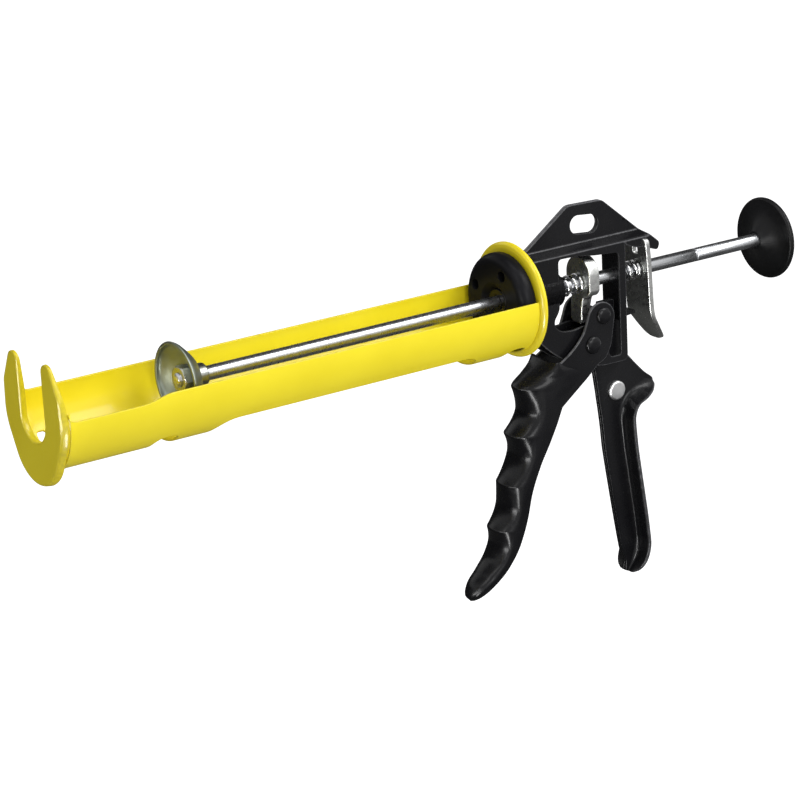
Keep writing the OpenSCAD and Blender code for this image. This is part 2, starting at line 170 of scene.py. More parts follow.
def resample(points: Array, spacing: float) -> Array:
    """Adds points to a closed outline so that no two neighbours are further apart than the spacing.

    Args:
        points: The outline, shape (n, 2).
        spacing: Longest step between two points.

    Returns:
        Points of the finer outline.
    """
    ring = np.concatenate([points, points[:1]])
    lengths = np.linalg.norm(np.diff(ring, axis=0), axis=1)
    keep = lengths > 1e-4
    counts = np.maximum(1, np.ceil(lengths / spacing)).astype(int) * keep
    start = np.repeat(ring[:-1], counts, axis=0)
    stop = np.repeat(ring[1:], counts, axis=0)
    total = np.cumsum(counts)
    share = (np.arange(total[-1]) - np.repeat(total - counts, counts)) / np.repeat(counts, counts)
    return start + (stop - start) * share[:, None]


def turn_way(points: Array, counter_clockwise: bool) -> Array:
    """The outline, reversed if needed so that it runs the asked way round.

    Args:
        points: The outline, shape (n, 2).
        counter_clockwise: The asked way, by the sign of the enclosed area.

    Returns:
        The outline.
    """
    x, y = points[:, 0], points[:, 1]
    area = np.sum(x * np.roll(y, -1) - np.roll(x, -1) * y)
    return points if (area > 0) == counter_clockwise else points[::-1]


def inward(points: Array) -> Array:
    """Unit normals of a closed outline, pointing left of its run.

    Each is the chord between both neighbours of its point, turned by 90 degrees.

    Args:
        points: The outline, shape (n, 2).

    Returns:
        Normals, in the same shape.
    """
    chord = np.roll(points, -1, axis=0) - np.roll(points, 1, axis=0)
    chord /= np.maximum(np.linalg.norm(chord, axis=1), 1e-9)[:, None]
    return np.stack([-chord[:, 1], chord[:, 0]], axis=1)


def inside(points: Array, outline: Array) -> Array:
    """Which points lie inside a closed outline, by counting the sides crossed on the way to infinity.

    Args:
        points: Points to test, shape (n, 2).
        outline: The outline.

    Returns:
        True for each point inside.
    """
    a, b = outline, np.roll(outline, -1, axis=0)
    x, y = points[:, :1], points[:, 1:]
    spans = (a[:, 1] > y) != (b[:, 1] > y)
    rise = np.where(b[:, 1] == a[:, 1], 1e-12, b[:, 1] - a[:, 1])
    crossing = a[:, 0] + (y - a[:, 1]) * (b[:, 0] - a[:, 0]) / rise
    return (np.sum(spans & (x < crossing), axis=1) % 2) == 1


def in_sheet(points: Array, loops: Sequence[Array]) -> Array:
    """Which points lie inside the first outline and outside all others, which are its holes.

    Args:
        points: Points to test, shape (n, 2).
        loops: The outline and the holes.

    Returns:
        True for each point in the sheet.
    """
    clear = inside(points, loops[0])
    for hole in loops[1:]:
        clear &= ~inside(points, hole)
    return clear


def ease(z: Array, knots: Points) -> Array:
    """Smooth value at z between knots (z, value).

    Each span is the cubic a (1 + 2s) (1 - s)^2 + b s^2 (3 - 2s) + h (m s (1 - s)^2 - n s^2 (1 - s)), where
    the slopes m and n at its ends are harmonic means of the chords beside them, and 0 at crests and hollows.

    Args:
        z: Places to read.
        knots: Pairs of place and value, in rising or falling order.

    Returns:
        Values, in the shape of z.
    """
    k = np.asarray(knots, float)
    k = k[np.argsort(k[:, 0])]
    h = np.diff(k[:, 0])
    chord = np.diff(k[:, 1]) / h
    product = chord[:-1] * chord[1:]
    total = np.where(product > 0, chord[:-1] + chord[1:], 1.0)
    slope = np.concatenate([chord[:1], np.where(product > 0, 2 * product / total, 0), chord[-1:]])
    i = np.clip(np.searchsorted(k[:, 0], z) - 1, 0, len(k) - 2)
    s = np.clip((z - k[i, 0]) / h[i], 0, 1)
    r = 1 - s
    ends = k[i, 1] * (1 + 2 * s) * r * r + k[i + 1, 1] * s * s * (3 - 2 * s)
    return ends + h[i] * (slope[i] * s * r * r - slope[i + 1] * s * s * r)


def line(z: Array, knots: Points) -> Array:
    """Straight-line value at z between knots (z, value), given from the top down."""
    k = np.asarray(knots, float)[::-1]
    return np.interp(z, k[:, 0], k[:, 1])


# ---- meshes ----------------------------------------------------------------------------


def grid_faces(rows: int, cols: int, wrap_rows: bool, wrap_cols: bool) -> Array:
    """Quads of a grid of rows by cols points, numbered row by row.

    Args:
        rows: Points down the grid.
        cols: Points across it.
        wrap_rows: Whether the last row joins the first.
        wrap_cols: Whether the last column joins the first.

    Returns:
        Corner numbers, shape (quads, 4).
    """
    i = np.arange(rows if wrap_rows else rows - 1)[:, None]
    j = np.arange(cols if wrap_cols else cols - 1)[None, :]
    down, right = (i + 1) % rows, (j + 1) % cols
    corners = [i * cols + j, i * cols + right, down * cols + right, down * cols + j]
    return np.stack([np.broadcast_to(c, (i.size, j.size)) for c in corners], axis=-1).reshape(-1, 4)


def put(name: str, data: bpy.types.ID) -> Piece:
    """A new object, linked into the scene.

    Args:
        name: The object's name.
        data: Its mesh, lamp or camera.

    Returns:
        The object.
    """
    thing = bpy.data.objects.new(name, data)
    bpy.context.scene.collection.objects.link(thing)
    return thing


def make_piece(
    name: str, points: Array, faces: Sequence[Sequence[int]], crease: float = 35, rim: Array | None = None
) -> Piece:
    """An object from points in millimetres, with its faces turned outwards and its creases sharp.

    Args:
        name: The piece's name.
        points: Vertices, shape (n, 3).
        faces: Corner numbers of each face.
        crease: Angle in degrees above which an edge is shaded sharp.
        rim: How strongly each vertex takes its finish's painted edge colour (a painted highlight on dark
            finishes, painted shade on the yellow paint), 0 to 1, kept as the attribute "rim".

    Returns:
        The new object, at the origin.
    """
    mesh = bpy.data.meshes.new(name)
    mesh.from_pydata((points * MM).tolist(), [], [list(map(int, f)) for f in faces])
    if rim is not None:
        # The "rim" attribute says where the finish paints its edge highlight or edge shade.
        mesh.attributes.new("rim", "FLOAT", "POINT").data.foreach_set("value", rim.astype(np.float32))
    work = bmesh.new()
    work.from_mesh(mesh)
    bmesh.ops.recalc_face_normals(work, faces=work.faces)
    work.to_mesh(mesh)
    work.free()
    mesh.polygons.foreach_set("use_smooth", np.ones(len(mesh.polygons), bool))
    mesh.set_sharp_from_angle(angle=math.radians(crease))
    mesh.update()
    return put(name, mesh)


def lathe(
    name: str,
    profile: Array,
    closed: bool = True,
    steps: int = 96,
    crease: float = 35,
    radius: Place | None = None,
) -> Piece:
    """A surface of revolution about the rod's axis: (x, r cos a, r sin a) for each profile point (x, r).

    Args:
        name: The piece's name.
        profile: Points (x, r); a closed ring, or an open run that starts and ends on the axis.
        closed: Whether the profile is a closed ring.
        steps: Divisions round the axis.
        crease: Angle in degrees above which an edge is shaded sharp.
        radius: Optional change of the radius, as a function of x, r and a.

    Returns:
        The new object.
    """
    a = np.linspace(0, 2 * np.pi, steps, endpoint=False)
    run = profile if closed else profile[1:-1]
    x, r = (np.broadcast_to(column[:, None], (len(run), steps)) for column in run.T)
    if radius is not None:
        r = radius(x, r, a[None, :])
    points = np.stack([x, r * np.cos(a), r * np.sin(a)], axis=-1).reshape(-1, 3)
    faces = grid_faces(len(run), steps, closed, True).tolist()
    if not closed:
        ends = np.array([[profile[0, 0], 0, 0], [profile[-1, 0], 0, 0]])
        first, last = len(points), len(points) + 1
        ring = np.arange(steps)
        low = np.stack([np.full(steps, first), np.roll(ring, -1), ring], axis=1)
        base = (len(run) - 1) * steps
        high = np.stack([np.full(steps, last), base + ring, base + np.roll(ring, -1)], axis=1)
        points = np.concatenate([points, ends])
        faces += low.tolist() + high.tolist()
    return make_piece(name, points, faces, crease)


def rim_profile(thickness: float, edge: float) -> tuple[Array, Array]:
    """The half-round rim of a blank, as rows from its upper face to its lower one.

    At the angle a, the inset is edge (1 - sin a) and the height is thickness / 2 - edge (1 - cos a). The
    first and the last row lie on the flat faces.

    Args:
        thickness: Sheet thickness.
        edge: Radius of the rounded edges.

    Returns:
        Insets and heights, one of each per row.
    """
    a = np.linspace(0, np.pi / 2, 5)
    inset = np.concatenate([[edge * RIM_ROW], edge * (1 - np.sin(a))])
    height = np.concatenate([[thickness / 2], thickness / 2 - edge * (1 - np.cos(a))])
    return np.concatenate([inset, inset[::-1]]), np.concatenate([height, -height[::-1]])


def cross_points(columns: Array, rows: Array) -> Array:
    """Points (u, v) at every crossing of columns u and rows v."""
    u, v = np.meshgrid(columns, rows)
    return np.stack([u.ravel(), v.ravel()], axis=1)


def fill_points(loops: Sequence[Array], rims: Array, spacing: float, levels: Sequence[float]) -> Array:
    """Points inside the flat face of a blank: a square grid, and a row of its own at each level.

    Args:
        loops: The outline and the holes.
        rims: Innermost points of all rims, which the grid keeps clear of.
        spacing: Distance between the grid's points, or 0 for none.
        levels: Values of v that get a row.

    Returns:
        Points (u, v), shape (n, 2).
    """
    if not spacing:
        return np.zeros((0, 2))
    low, high = rims.min(0), rims.max(0)
    columns = np.arange(low[0], high[0], spacing)
    points = cross_points(columns, np.arange(low[1], high[1], spacing))
    if levels:
        points = points[np.min(np.abs(points[:, 1:] - np.array(levels)), axis=1) > 0.3 * spacing]
        points = np.concatenate([points, cross_points(columns, np.array(levels))])
    points = points[in_sheet(points, loops)]
    gap = np.min(np.linalg.norm(points[:, None] - rims[None], axis=2), axis=1)
    return points[gap > min(0.45 * spacing, 0.6)]


def triangulate(rims: Sequence[Array], inner: Array) -> Array:
    """Triangles of a flat face between its rims, numbered over the rims' points and then the inner ones.

    Args:
        rims: Innermost points of each rim, that of the outline first.
        inner: Points inside the face.

    Returns:
        Corner numbers, shape (triangles, 3).
    """
    walls, first = [], 0
    for rim in rims:
        ring = np.arange(len(rim))
        walls.append(first + np.stack([ring, np.roll(ring, -1)], axis=1))
        first += len(rim)
    every = np.concatenate([*rims, inner])
    cut = delaunay_2d_cdt([Vector(p) for p in every], np.concatenate(walls).tolist(), [], 0, 1e-5)
    corners, triangles, origins = cut[0], cut[2], cut[3]
    source = np.array([
        origin[0] if origin else int(np.argmin(np.linalg.norm(every - np.array(corner), axis=1)))
        for corner, origin in zip(corners, origins)
    ])
    tri = source[np.array(triangles)]
    tri = tri[(tri[:, 0] != tri[:, 1]) & (tri[:, 1] != tri[:, 2]) & (tri[:, 2] != tri[:, 0])]
    return tri[in_sheet(every[tri].mean(axis=1), rims)]


def plate(
    name: str,
    outline: Array,
    holes: Sequence[Array],
    thickness: float,
    edge: float,
    place: Place,
    spacing: float = 0,
    fine: float = 1.2,
    levels: Sequence[float] = (),
    lines: Sequence[float] = (),
    hole_painted_edge: float = 1.0,
) -> Piece:
    """A sheet-metal blank with rounded edges, bent into place.

    The rim profile is carried along the outline and along each hole, and both flat faces are triangulated
    between the rims. Then every point (u, v, h) goes through the bending.

    Args:
        name: The piece's name.
        outline: Closed outer outline (u, v).
        holes: Closed outlines of the holes.
        thickness: Sheet thickness.
        edge: Radius of the rounded edges.
        place: Bending, which turns arrays u, v and h into points (x, y, z).
        spacing: Distance between extra points inside the faces, or 0 where the bending is straight.
        fine: Longest step along an outline.
        levels: Values of v at which a denser row of points lies inside the faces, as at a sharp bend.
        lines: Those of the levels that get the finish's painted edge colour, as a painted highlight line along
            a bend.
        hole_painted_edge: How strongly the edges of the holes take the painted edge colour, where 1 is as the
            outline.

    Returns:
        The new object.
    """
    loops = [turn_way(resample(outline, fine), True)] + [turn_way(resample(h, fine), False) for h in holes]
    inset, height = rim_profile(thickness, edge)
    # Share of the finish's painted edge colour for each rim row: 1 on the rounded edge, 0 on the flat face.
    near = np.clip(1 - inset / (edge * RIM_ROW), 0, 1)
    rows, start = len(inset), 0
    # The wear list gathers each point's share of the painted edge colour.
    flat, faces, wear, top, bottom = [], [], [], [], []
    for loop in loops:
        ring = np.arange(len(loop))
        uv = loop[None] + inset[:, None, None] * inward(loop)[None]
        h = np.broadcast_to(height[:, None, None], (rows, len(loop), 1))
        flat.append(np.concatenate([uv, h], axis=2).reshape(-1, 3))
        faces += (grid_faces(rows, len(loop), False, True) + start).tolist()
        wear.append(np.repeat(near, len(loop)) * (hole_painted_edge if wear else 1.0))
        top.append(start + ring)
        bottom.append(start + (rows - 1) * len(loop) + ring)
        start += rows * len(loop)
    rims = [points[: len(loop), :2] for points, loop in zip(flat, loops)]
    inner = fill_points(loops, np.concatenate(rims), spacing, levels)
    tri = triangulate(rims, inner)
    upper = np.concatenate(top + [start + np.arange(len(inner))])
    lower = np.concatenate(bottom + [start + len(inner) + np.arange(len(inner))])
    faces += upper[tri].tolist() + lower[tri][:, ::-1].tolist()
    for level in (thickness / 2, -thickness / 2):
        flat.append(np.concatenate([inner, np.full((len(inner), 1), level)], axis=1))
    # Points on the chosen bend rows get the painted edge colour too: a painted highlight line along each bend.
    bend_painted_highlight = np.zeros(len(inner))
    for level in lines:
        bend_painted_highlight = np.where(np.abs(inner[:, 1] - level) < 0.02, 1.0, bend_painted_highlight)
    rim = np.concatenate(wear + [bend_painted_highlight, bend_painted_highlight])
    return make_piece(name, place(*np.concatenate(flat).T), faces, 40, rim)


def loft(name: str, sections: Array, crease: float = 40, rim: Array | None = None) -> Piece:
    """A closed skin over a stack of closed sections, with both ends capped.

    Args:
        name: The piece's name.
        sections: The sections' points, shape (sections, points, 3).
        crease: Angle in degrees above which an edge is shaded sharp.
        rim: How strongly each point takes the finish's painted edge colour, 0 to 1.

    Returns:
        The new object.
    """
    rows, cols = sections.shape[:2]
    faces = grid_faces(rows, cols, False, True).tolist()
    faces.append(list(range(cols)))
    faces.append(list(range((rows - 1) * cols, rows * cols))[::-1])
    return make_piece(name, sections.reshape(-1, 3), faces, crease, rim)


def coil(name: str, start: float, stop: float, mean: float, wire: float, turns: float) -> Piece:
    """A compression spring: a circle of the wire's radius carried along a helix about the rod's axis.

    The helix is (x(t), mean cos t, mean sin t); x rises slowly over the first and last 0.7 turns, which
    lie nearly flat, and evenly between them.

    Args:
        name: The piece's name.
        start: Front end along X.
        stop: Rear end along X.
        mean: Radius of the helix.
        wire: Radius of the wire.
        turns: Number of turns.

    Returns:
        The new object.
    """
    flat_turns, slow = 0.7, 0.12
    s = np.linspace(0, 1, int(turns * 40))
    t = 2 * np.pi * turns * s
    level = np.clip((s * turns - flat_turns) / (turns - 2 * flat_turns), 0, 1)
    x = start + wire + (stop - start - 2 * wire) * (slow * s + (1 - slow) * level)
    b = np.linspace(0, 2 * np.pi, 12, endpoint=False)
    r = mean + wire * np.cos(b)[None]
    sides = [x[:, None] + wire * np.sin(b)[None], r * np.cos(t)[:, None], r * np.sin(t)[:, None]]
    return loft(name, np.stack(sides, axis=-1))


# ---- finishes --------------------------------------------------------------------------


def set_inputs(node: bpy.types.Node, **values: float | Sequence[float]) -> None:
    """Sets the defaults of a node's inputs, each named with _ for a space."""
    for label, value in values.items():
        node.inputs[label.replace("_", " ")].default_value = value


def group_tree(
    name: str, inputs: Sequence[tuple[str, str]], outputs: Sequence[tuple[str, str]]
) -> tuple[Tree, bpy.types.Node, bpy.types.Node]:
    """An empty shader node group with named sockets.

    Args:
        name: The group's name.
        inputs: Socket type and name of each input.
        outputs: Socket type and name of each output.

    Returns:
        The tree, its input node and its output node.
    """
    tree = bpy.data.node_groups.new(name, "ShaderNodeTree")
    for way, sockets in (("INPUT", inputs), ("OUTPUT", outputs)):
        for kind, label in sockets:
            tree.interface.new_socket(name=label, in_out=way, socket_type=kind)
    return tree, tree.nodes.new("NodeGroupInput"), tree.nodes.new("NodeGroupOutput")


def add_group(tree: Tree, group: Tree, vector: Socket) -> bpy.types.Node:
    """Places a node group in a tree and links its Vector input.

    Args:
        tree: Where it goes.
        group: The group.
        vector: Coordinates of its patterns.

    Returns:
        The group's node.
    """
    node = tree.nodes.new("ShaderNodeGroup")
    node.node_tree = group
    tree.links.new(vector, node.inputs["Vector"])
    return node


def add_math(tree: Tree, operation: str, first: Socket | float, second: Socket | float) -> Socket:
    """A Math node of two values.

    Args:
        tree: Where it goes.
        operation: What it works out.
        first: A number, or a socket to link.
        second: Another.

    Returns:
        The result's socket.
    """
    node = tree.nodes.new("ShaderNodeMath")
    node.operation = operation
    for socket, value in zip(node.inputs, (first, second)):
        if isinstance(value, (int, float)):
            socket.default_value = value
        else:
            tree.links.new(value, socket)
    return node.outputs[0]


def add_noise(tree: Tree, vector: Socket, scale: float, detail: float, stretch: Vec = (1, 1, 1)) -> Socket:
    """Noise on a vector.

    Args:
        tree: Where its nodes go.
        vector: The coordinates, in metres.
        scale: Patches per metre.
        detail: Octaves of finer noise.
        stretch: Factors on the vector.

    Returns:
        The value's socket.
    """
    mapping = tree.nodes.new("ShaderNodeMapping")
    set_inputs(mapping, Scale=stretch)
    noise = tree.nodes.new("ShaderNodeTexNoise")
    set_inputs(noise, Scale=scale, Detail=detail)
    tree.links.new(vector, mapping.inputs["Vector"])
    tree.links.new(mapping.outputs["Vector"], noise.inputs["Vector"])
    return noise.outputs["Fac"]


def seen_by(tree: Tree, *rays: str) -> Socket:
    """A socket that is 1 for rays of the named kinds, and 0 for all others.

    Args:
        tree: Where its nodes go.
        *rays: Outputs of the Light Path node.

    Returns:
        The value's socket.
    """
    path = tree.nodes.new("ShaderNodeLightPath")
    seen = path.outputs[rays[0]]
    for ray in rays[1:]:
        seen = add_math(tree, "MAXIMUM", seen, path.outputs[ray])
    return seen


def build_mottle() -> Tree:
    """Group of slow and fine noise: a mask about 0.5 for colour, a speckle for gloss and a fine height.

    Returns:
        The group; its input Spread says how strongly the mask varies.
    """
    tree, source, sink = group_tree(
        "surface_mottle",
        [("NodeSocketVector", "Vector"), ("NodeSocketFloat", "Spread")],
        [("NodeSocketFloat", "Mask"), ("NodeSocketFloat", "Speckle"), ("NodeSocketFloat", "Height")],
    )
    vector = source.outputs["Vector"]
    centred = add_math(tree, "SUBTRACT", add_noise(tree, vector, 28, 4), 0.5)
    spread = add_math(tree, "MULTIPLY", centred, source.outputs["Spread"])
    tree.links.new(add_math(tree, "ADD", spread, 0.5), sink.inputs["Mask"])
    tree.links.new(add_noise(tree, vector, 420, 3), sink.inputs["Speckle"])
    tree.links.new(add_noise(tree, vector, 900, 2), sink.inputs["Height"])
    return tree


def build_drawn() -> Tree:
    """Group of fine lines that run along X, as drawing through a die leaves, with shorter wisps between.

    Returns:
        The group.
    """
    tree, source, sink = group_tree(
        "drawn_lines", [("NodeSocketVector", "Vector")], [("NodeSocketFloat", "Lines")]
    )
    vector = source.outputs["Vector"]
    along = add_math(tree, "MULTIPLY", add_noise(tree, vector, 1, 4, (14, 2600, 2600)), 0.65)
    wisps = add_math(tree, "MULTIPLY", add_noise(tree, vector, 1, 2, (60, 900, 900)), 0.35)
    tree.links.new(add_math(tree, "ADD", along, wisps), sink.inputs["Lines"])
    return tree


class Shared:
    """Node groups that several finishes use, each built once."""

    mottle: Tree | None = None
    drawn: Tree | None = None

    @classmethod
    def build(cls) -> None:
        """Builds the groups."""
        cls.mottle = build_mottle()
        cls.drawn = build_drawn()


@dataclass(frozen=True)
class Finish:
    """A painted, moulded or metal surface with slow tint changes, fine speckle, painted edge light and shade,
    and bump.

    Attributes:
        name: Name of the material.
        dark: Colour in the darker patches.
        light: Colour in the lighter patches.
        rim: Colour painted on rounded sheet edges and bend lines: a painted highlight where it is lighter than
            the surface, painted shade where it is darker.
        rough: Lowest and highest roughness.
        metallic: 1 for bare metal.
        specular: Specular level of a dielectric.
        coat: Weight of the clear top layer.
        coat_rough: Roughness of that layer.
        bump: Depth of the fine bump in millimetres.
        drawn: Whether lines along X show, as on drawn steel.
        spread: How strongly the slow patches differ.
    """

    name: str
    dark: Colour
    light: Colour
    rim: Colour
    rough: tuple[float, float]
    metallic: float = 0.0
    specular: float = 0.5
    coat: float = 0.0
    coat_rough: float = 0.1
    bump: float = 0.01
    drawn: bool = False
    spread: float = 1.0

    def tint(self, tree: Tree, mask: Socket, speckle: Socket) -> Socket:
        """Base colour: dark to light by the mask, then towards the rim's colour by 1.2 x edge x speckle, which
        paints the finish's edge highlight (edge shade, on the yellow paint) onto rounded edges.

        Args:
            tree: The material's nodes.
            mask: Slow patches, about 0.5.
            speckle: Fine patches, which break up the painted edge highlight and shade.

        Returns:
            The colour's socket.
        """
        ramp = tree.nodes.new("ShaderNodeValToRGB")
        for stop, position, colour in zip(ramp.color_ramp.elements, (0.25, 0.75), (self.dark, self.light)):
            stop.position, stop.color = position, (*colour, 1)
        tree.links.new(mask, ramp.inputs["Fac"])
        # Painted edge light: the "rim" attribute blends the base colour towards the rim colour, a painted
        # highlight on the dark finishes and painted shade on the yellow paint.
        edge = tree.nodes.new("ShaderNodeAttribute")
        edge.attribute_name = "rim"
        painted_edge_share = add_math(tree, "MULTIPLY", edge.outputs["Fac"], add_math(tree, "MULTIPLY", speckle, 1.2))
        painted_edge_mix = tree.nodes.new("ShaderNodeMix")
        painted_edge_mix.data_type = "RGBA"
        plain, painted_edge_colour = (s for s in painted_edge_mix.inputs if s.type == "RGBA")
        painted_edge_colour.default_value = (*self.rim, 1)
        tree.links.new(painted_edge_share, painted_edge_mix.inputs["Factor"])
        tree.links.new(ramp.outputs["Color"], plain)
        return next(s for s in painted_edge_mix.outputs if s.type == "RGBA")

    def gloss(self, tree: Tree, speckle: Socket) -> Socket:
        """Roughness, from the lowest to the highest by the speckle's middle range.

        Args:
            tree: The material's nodes.
            speckle: Fine patches.

        Returns:
            The value's socket.
        """
        node = tree.nodes.new("ShaderNodeMapRange")
        set_inputs(node, From_Min=0.3, From_Max=0.7, To_Min=self.rough[0], To_Max=self.rough[1])
        tree.links.new(speckle, node.inputs["Value"])
        return node.outputs["Result"]

    def build(self) -> bpy.types.Material:
        """Builds the material; its patterns read Object coordinates, in metres.

        Returns:
            The material.
        """
        material = bpy.data.materials.new(self.name)
        material.use_nodes = True
        tree = material.node_tree
        shader = tree.nodes["Principled BSDF"]
        set_inputs(shader, Metallic=self.metallic, Specular_IOR_Level=self.specular)
        set_inputs(shader, Coat_Weight=self.coat, Coat_Roughness=self.coat_rough)
        place = tree.nodes.new("ShaderNodeTexCoord").outputs["Object"]
        mottle = add_group(tree, Shared.mottle, place)
        set_inputs(mottle, Spread=self.spread)
        mask, speckle, height = (mottle.outputs[name] for name in ("Mask", "Speckle", "Height"))
        if self.drawn:
            height = add_group(tree, Shared.drawn, place).outputs["Lines"]
            mask = add_math(tree, "MULTIPLY", add_math(tree, "ADD", mask, height), 0.5)
        relief = tree.nodes.new("ShaderNodeBump")
        set_inputs(relief, Strength=1.0, Distance=self.bump * MM)
        tree.links.new(height, relief.inputs["Height"])
        tree.links.new(self.tint(tree, mask, speckle), shader.inputs["Base Color"])
        tree.links.new(self.gloss(tree, speckle), shader.inputs["Roughness"])
        tree.links.new(relief.outputs["Normal"], shader.inputs["Normal"])
        return material


# The rim colour, about ten times the paint's own, is a painted highlight on the rounded edges of the black
# parts.
FRAME_PAINT = Finish(
    "frame_black_paint", (0.005, 0.005, 0.006), (0.009, 0.009, 0.010), (0.085, 0.085, 0.09), (0.20, 0.30),
    specular=0.18, bump=0.010, spread=1.6,
)
PLASTIC = Finish(
    "moulded_black_plastic", (0.006, 0.006, 0.006), (0.011, 0.011, 0.012), (0.02, 0.02, 0.021), (0.30, 0.42),
    specular=0.13, bump=0.008, spread=1.4,
)
FINISHES: dict[str, Finish] = {
    # The darker rim colour of the yellow paint is painted shade along the rounded edges of the trough and
    # front plate.
    "cradle_paint": Finish(
        "cradle_yellow_paint", (0.78, 0.635, 0.012), (0.84, 0.70, 0.018), (0.52, 0.42, 0.01), (0.30, 0.38),
        specular=0.22, coat=0.30, coat_rough=0.10, bump=0.006, spread=1.0,
    ),
    "frame_paint": FRAME_PAINT,
    # Same black paint with an even brighter rim colour: a painted highlight on the edges and bend lines of the
    # side plates and trigger arms.
    "painted_highlight_black_paint": replace(FRAME_PAINT, name="black_paint_with_painted_edge_highlight", rim=(0.17, 0.17, 0.18)),
    "black_plastic": PLASTIC,
    "nut_plastic": replace(
        PLASTIC, name="matt_black_plastic", specular=0.07,
        dark=(0.0065, 0.0065, 0.0078), light=(0.0095, 0.0095, 0.0115),
    ),
    "rod_steel": Finish(
        "drawn_rod_steel", (0.42, 0.43, 0.45), (0.60, 0.61, 0.62), (0.6, 0.6, 0.62), (0.24, 0.32),
        metallic=1, bump=0.0006, drawn=True, spread=1.2,
    ),
    # The light rim colour is a painted highlight on the rounded edges of the drive plate and release lever.
    "zinc_steel": Finish(
        "zinc_plated_steel", (0.32, 0.33, 0.31), (0.50, 0.51, 0.49), (0.75, 0.75, 0.74), (0.24, 0.36),
        metallic=1, bump=0.003, spread=1.8,
    ),
    "piston_zinc": Finish(
        "dull_piston_zinc", (0.20, 0.225, 0.19), (0.30, 0.33, 0.28), (0.14, 0.15, 0.13), (0.36, 0.46),
        metallic=1, bump=0.004, spread=1.6,
    ),
    "spring_steel": Finish(
        "bright_spring_wire", (0.55, 0.55, 0.56), (0.72, 0.72, 0.73), (0.7, 0.7, 0.7), (0.12, 0.20),
        metallic=1, bump=0.002, spread=1.2,
    ),
    "bright_rivet": Finish(
        "polished_rivet", (0.70, 0.70, 0.70), (0.80, 0.80, 0.80), (0.85, 0.85, 0.85), (0.30, 0.42),
        metallic=1, bump=0.004, spread=1.2,
    ),
}


@dataclass
class Wardrobe:
    """Builds each finish once and puts it on pieces and on CAD nodes.

    Attributes:
        made: Materials built so far, by the key of their finish.
    """

    made: dict[str, bpy.types.Material] = field(default_factory=dict)

    def material(self, key: str) -> bpy.types.Material:
        """The material of a finish, built on first use.

        Args:
            key: Key of the finish.

        Returns:
            The material.
        """
        if key not in self.made:
            self.made[key] = FINISHES[key].build()
        return self.made[key]

    def wear(self, thing: Piece, key: str) -> None:
        """Gives a piece or a CAD node one finish as its only material."""
        thing.data.materials.clear()
        thing.data.materials.append(self.material(key))

    def dress(self, piece: Piece, slot: Slot, body: Body, *nodes: str, finish: str = "") -> None:
        """Gives a new piece its finish, lets it ride on its body and stands it in for CAD nodes.

        Args:
            piece: The new piece.
            slot: The finish.
            body: The body it moves with.
            *nodes: CAD nodes that it stands for.
            finish: Key of a finish, where it differs from the slot's own.
        """
        self.wear(piece, finish or slot.value)
        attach(piece, body.value)
        if nodes:
            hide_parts(*nodes)
        LOG.info("%s: %d faces, %s, on %s", piece.name, len(piece.data.polygons), slot.value, body.value)

    def dress_node(self, name: str) -> None:
        """Gives a CAD node that still shows the finish of its slot in the record.

        Args:
            name: The node.
        """
        slot = next(s["material_slot"] for s in frame["record"]["subparts"] if s["node"] == name)
        self.wear(frame["nodes"][name], slot)
        LOG.info("%s: CAD node in %s", name, slot)


# ---- the gun's parts -------------------------------------------------------------------


def across(middle: float) -> Place:
    """Lays a blank drawn as (x, z) in the plane y = middle, its thickness along Y."""
    return lambda u, v, h: np.stack([u, middle + h, v], axis=1)


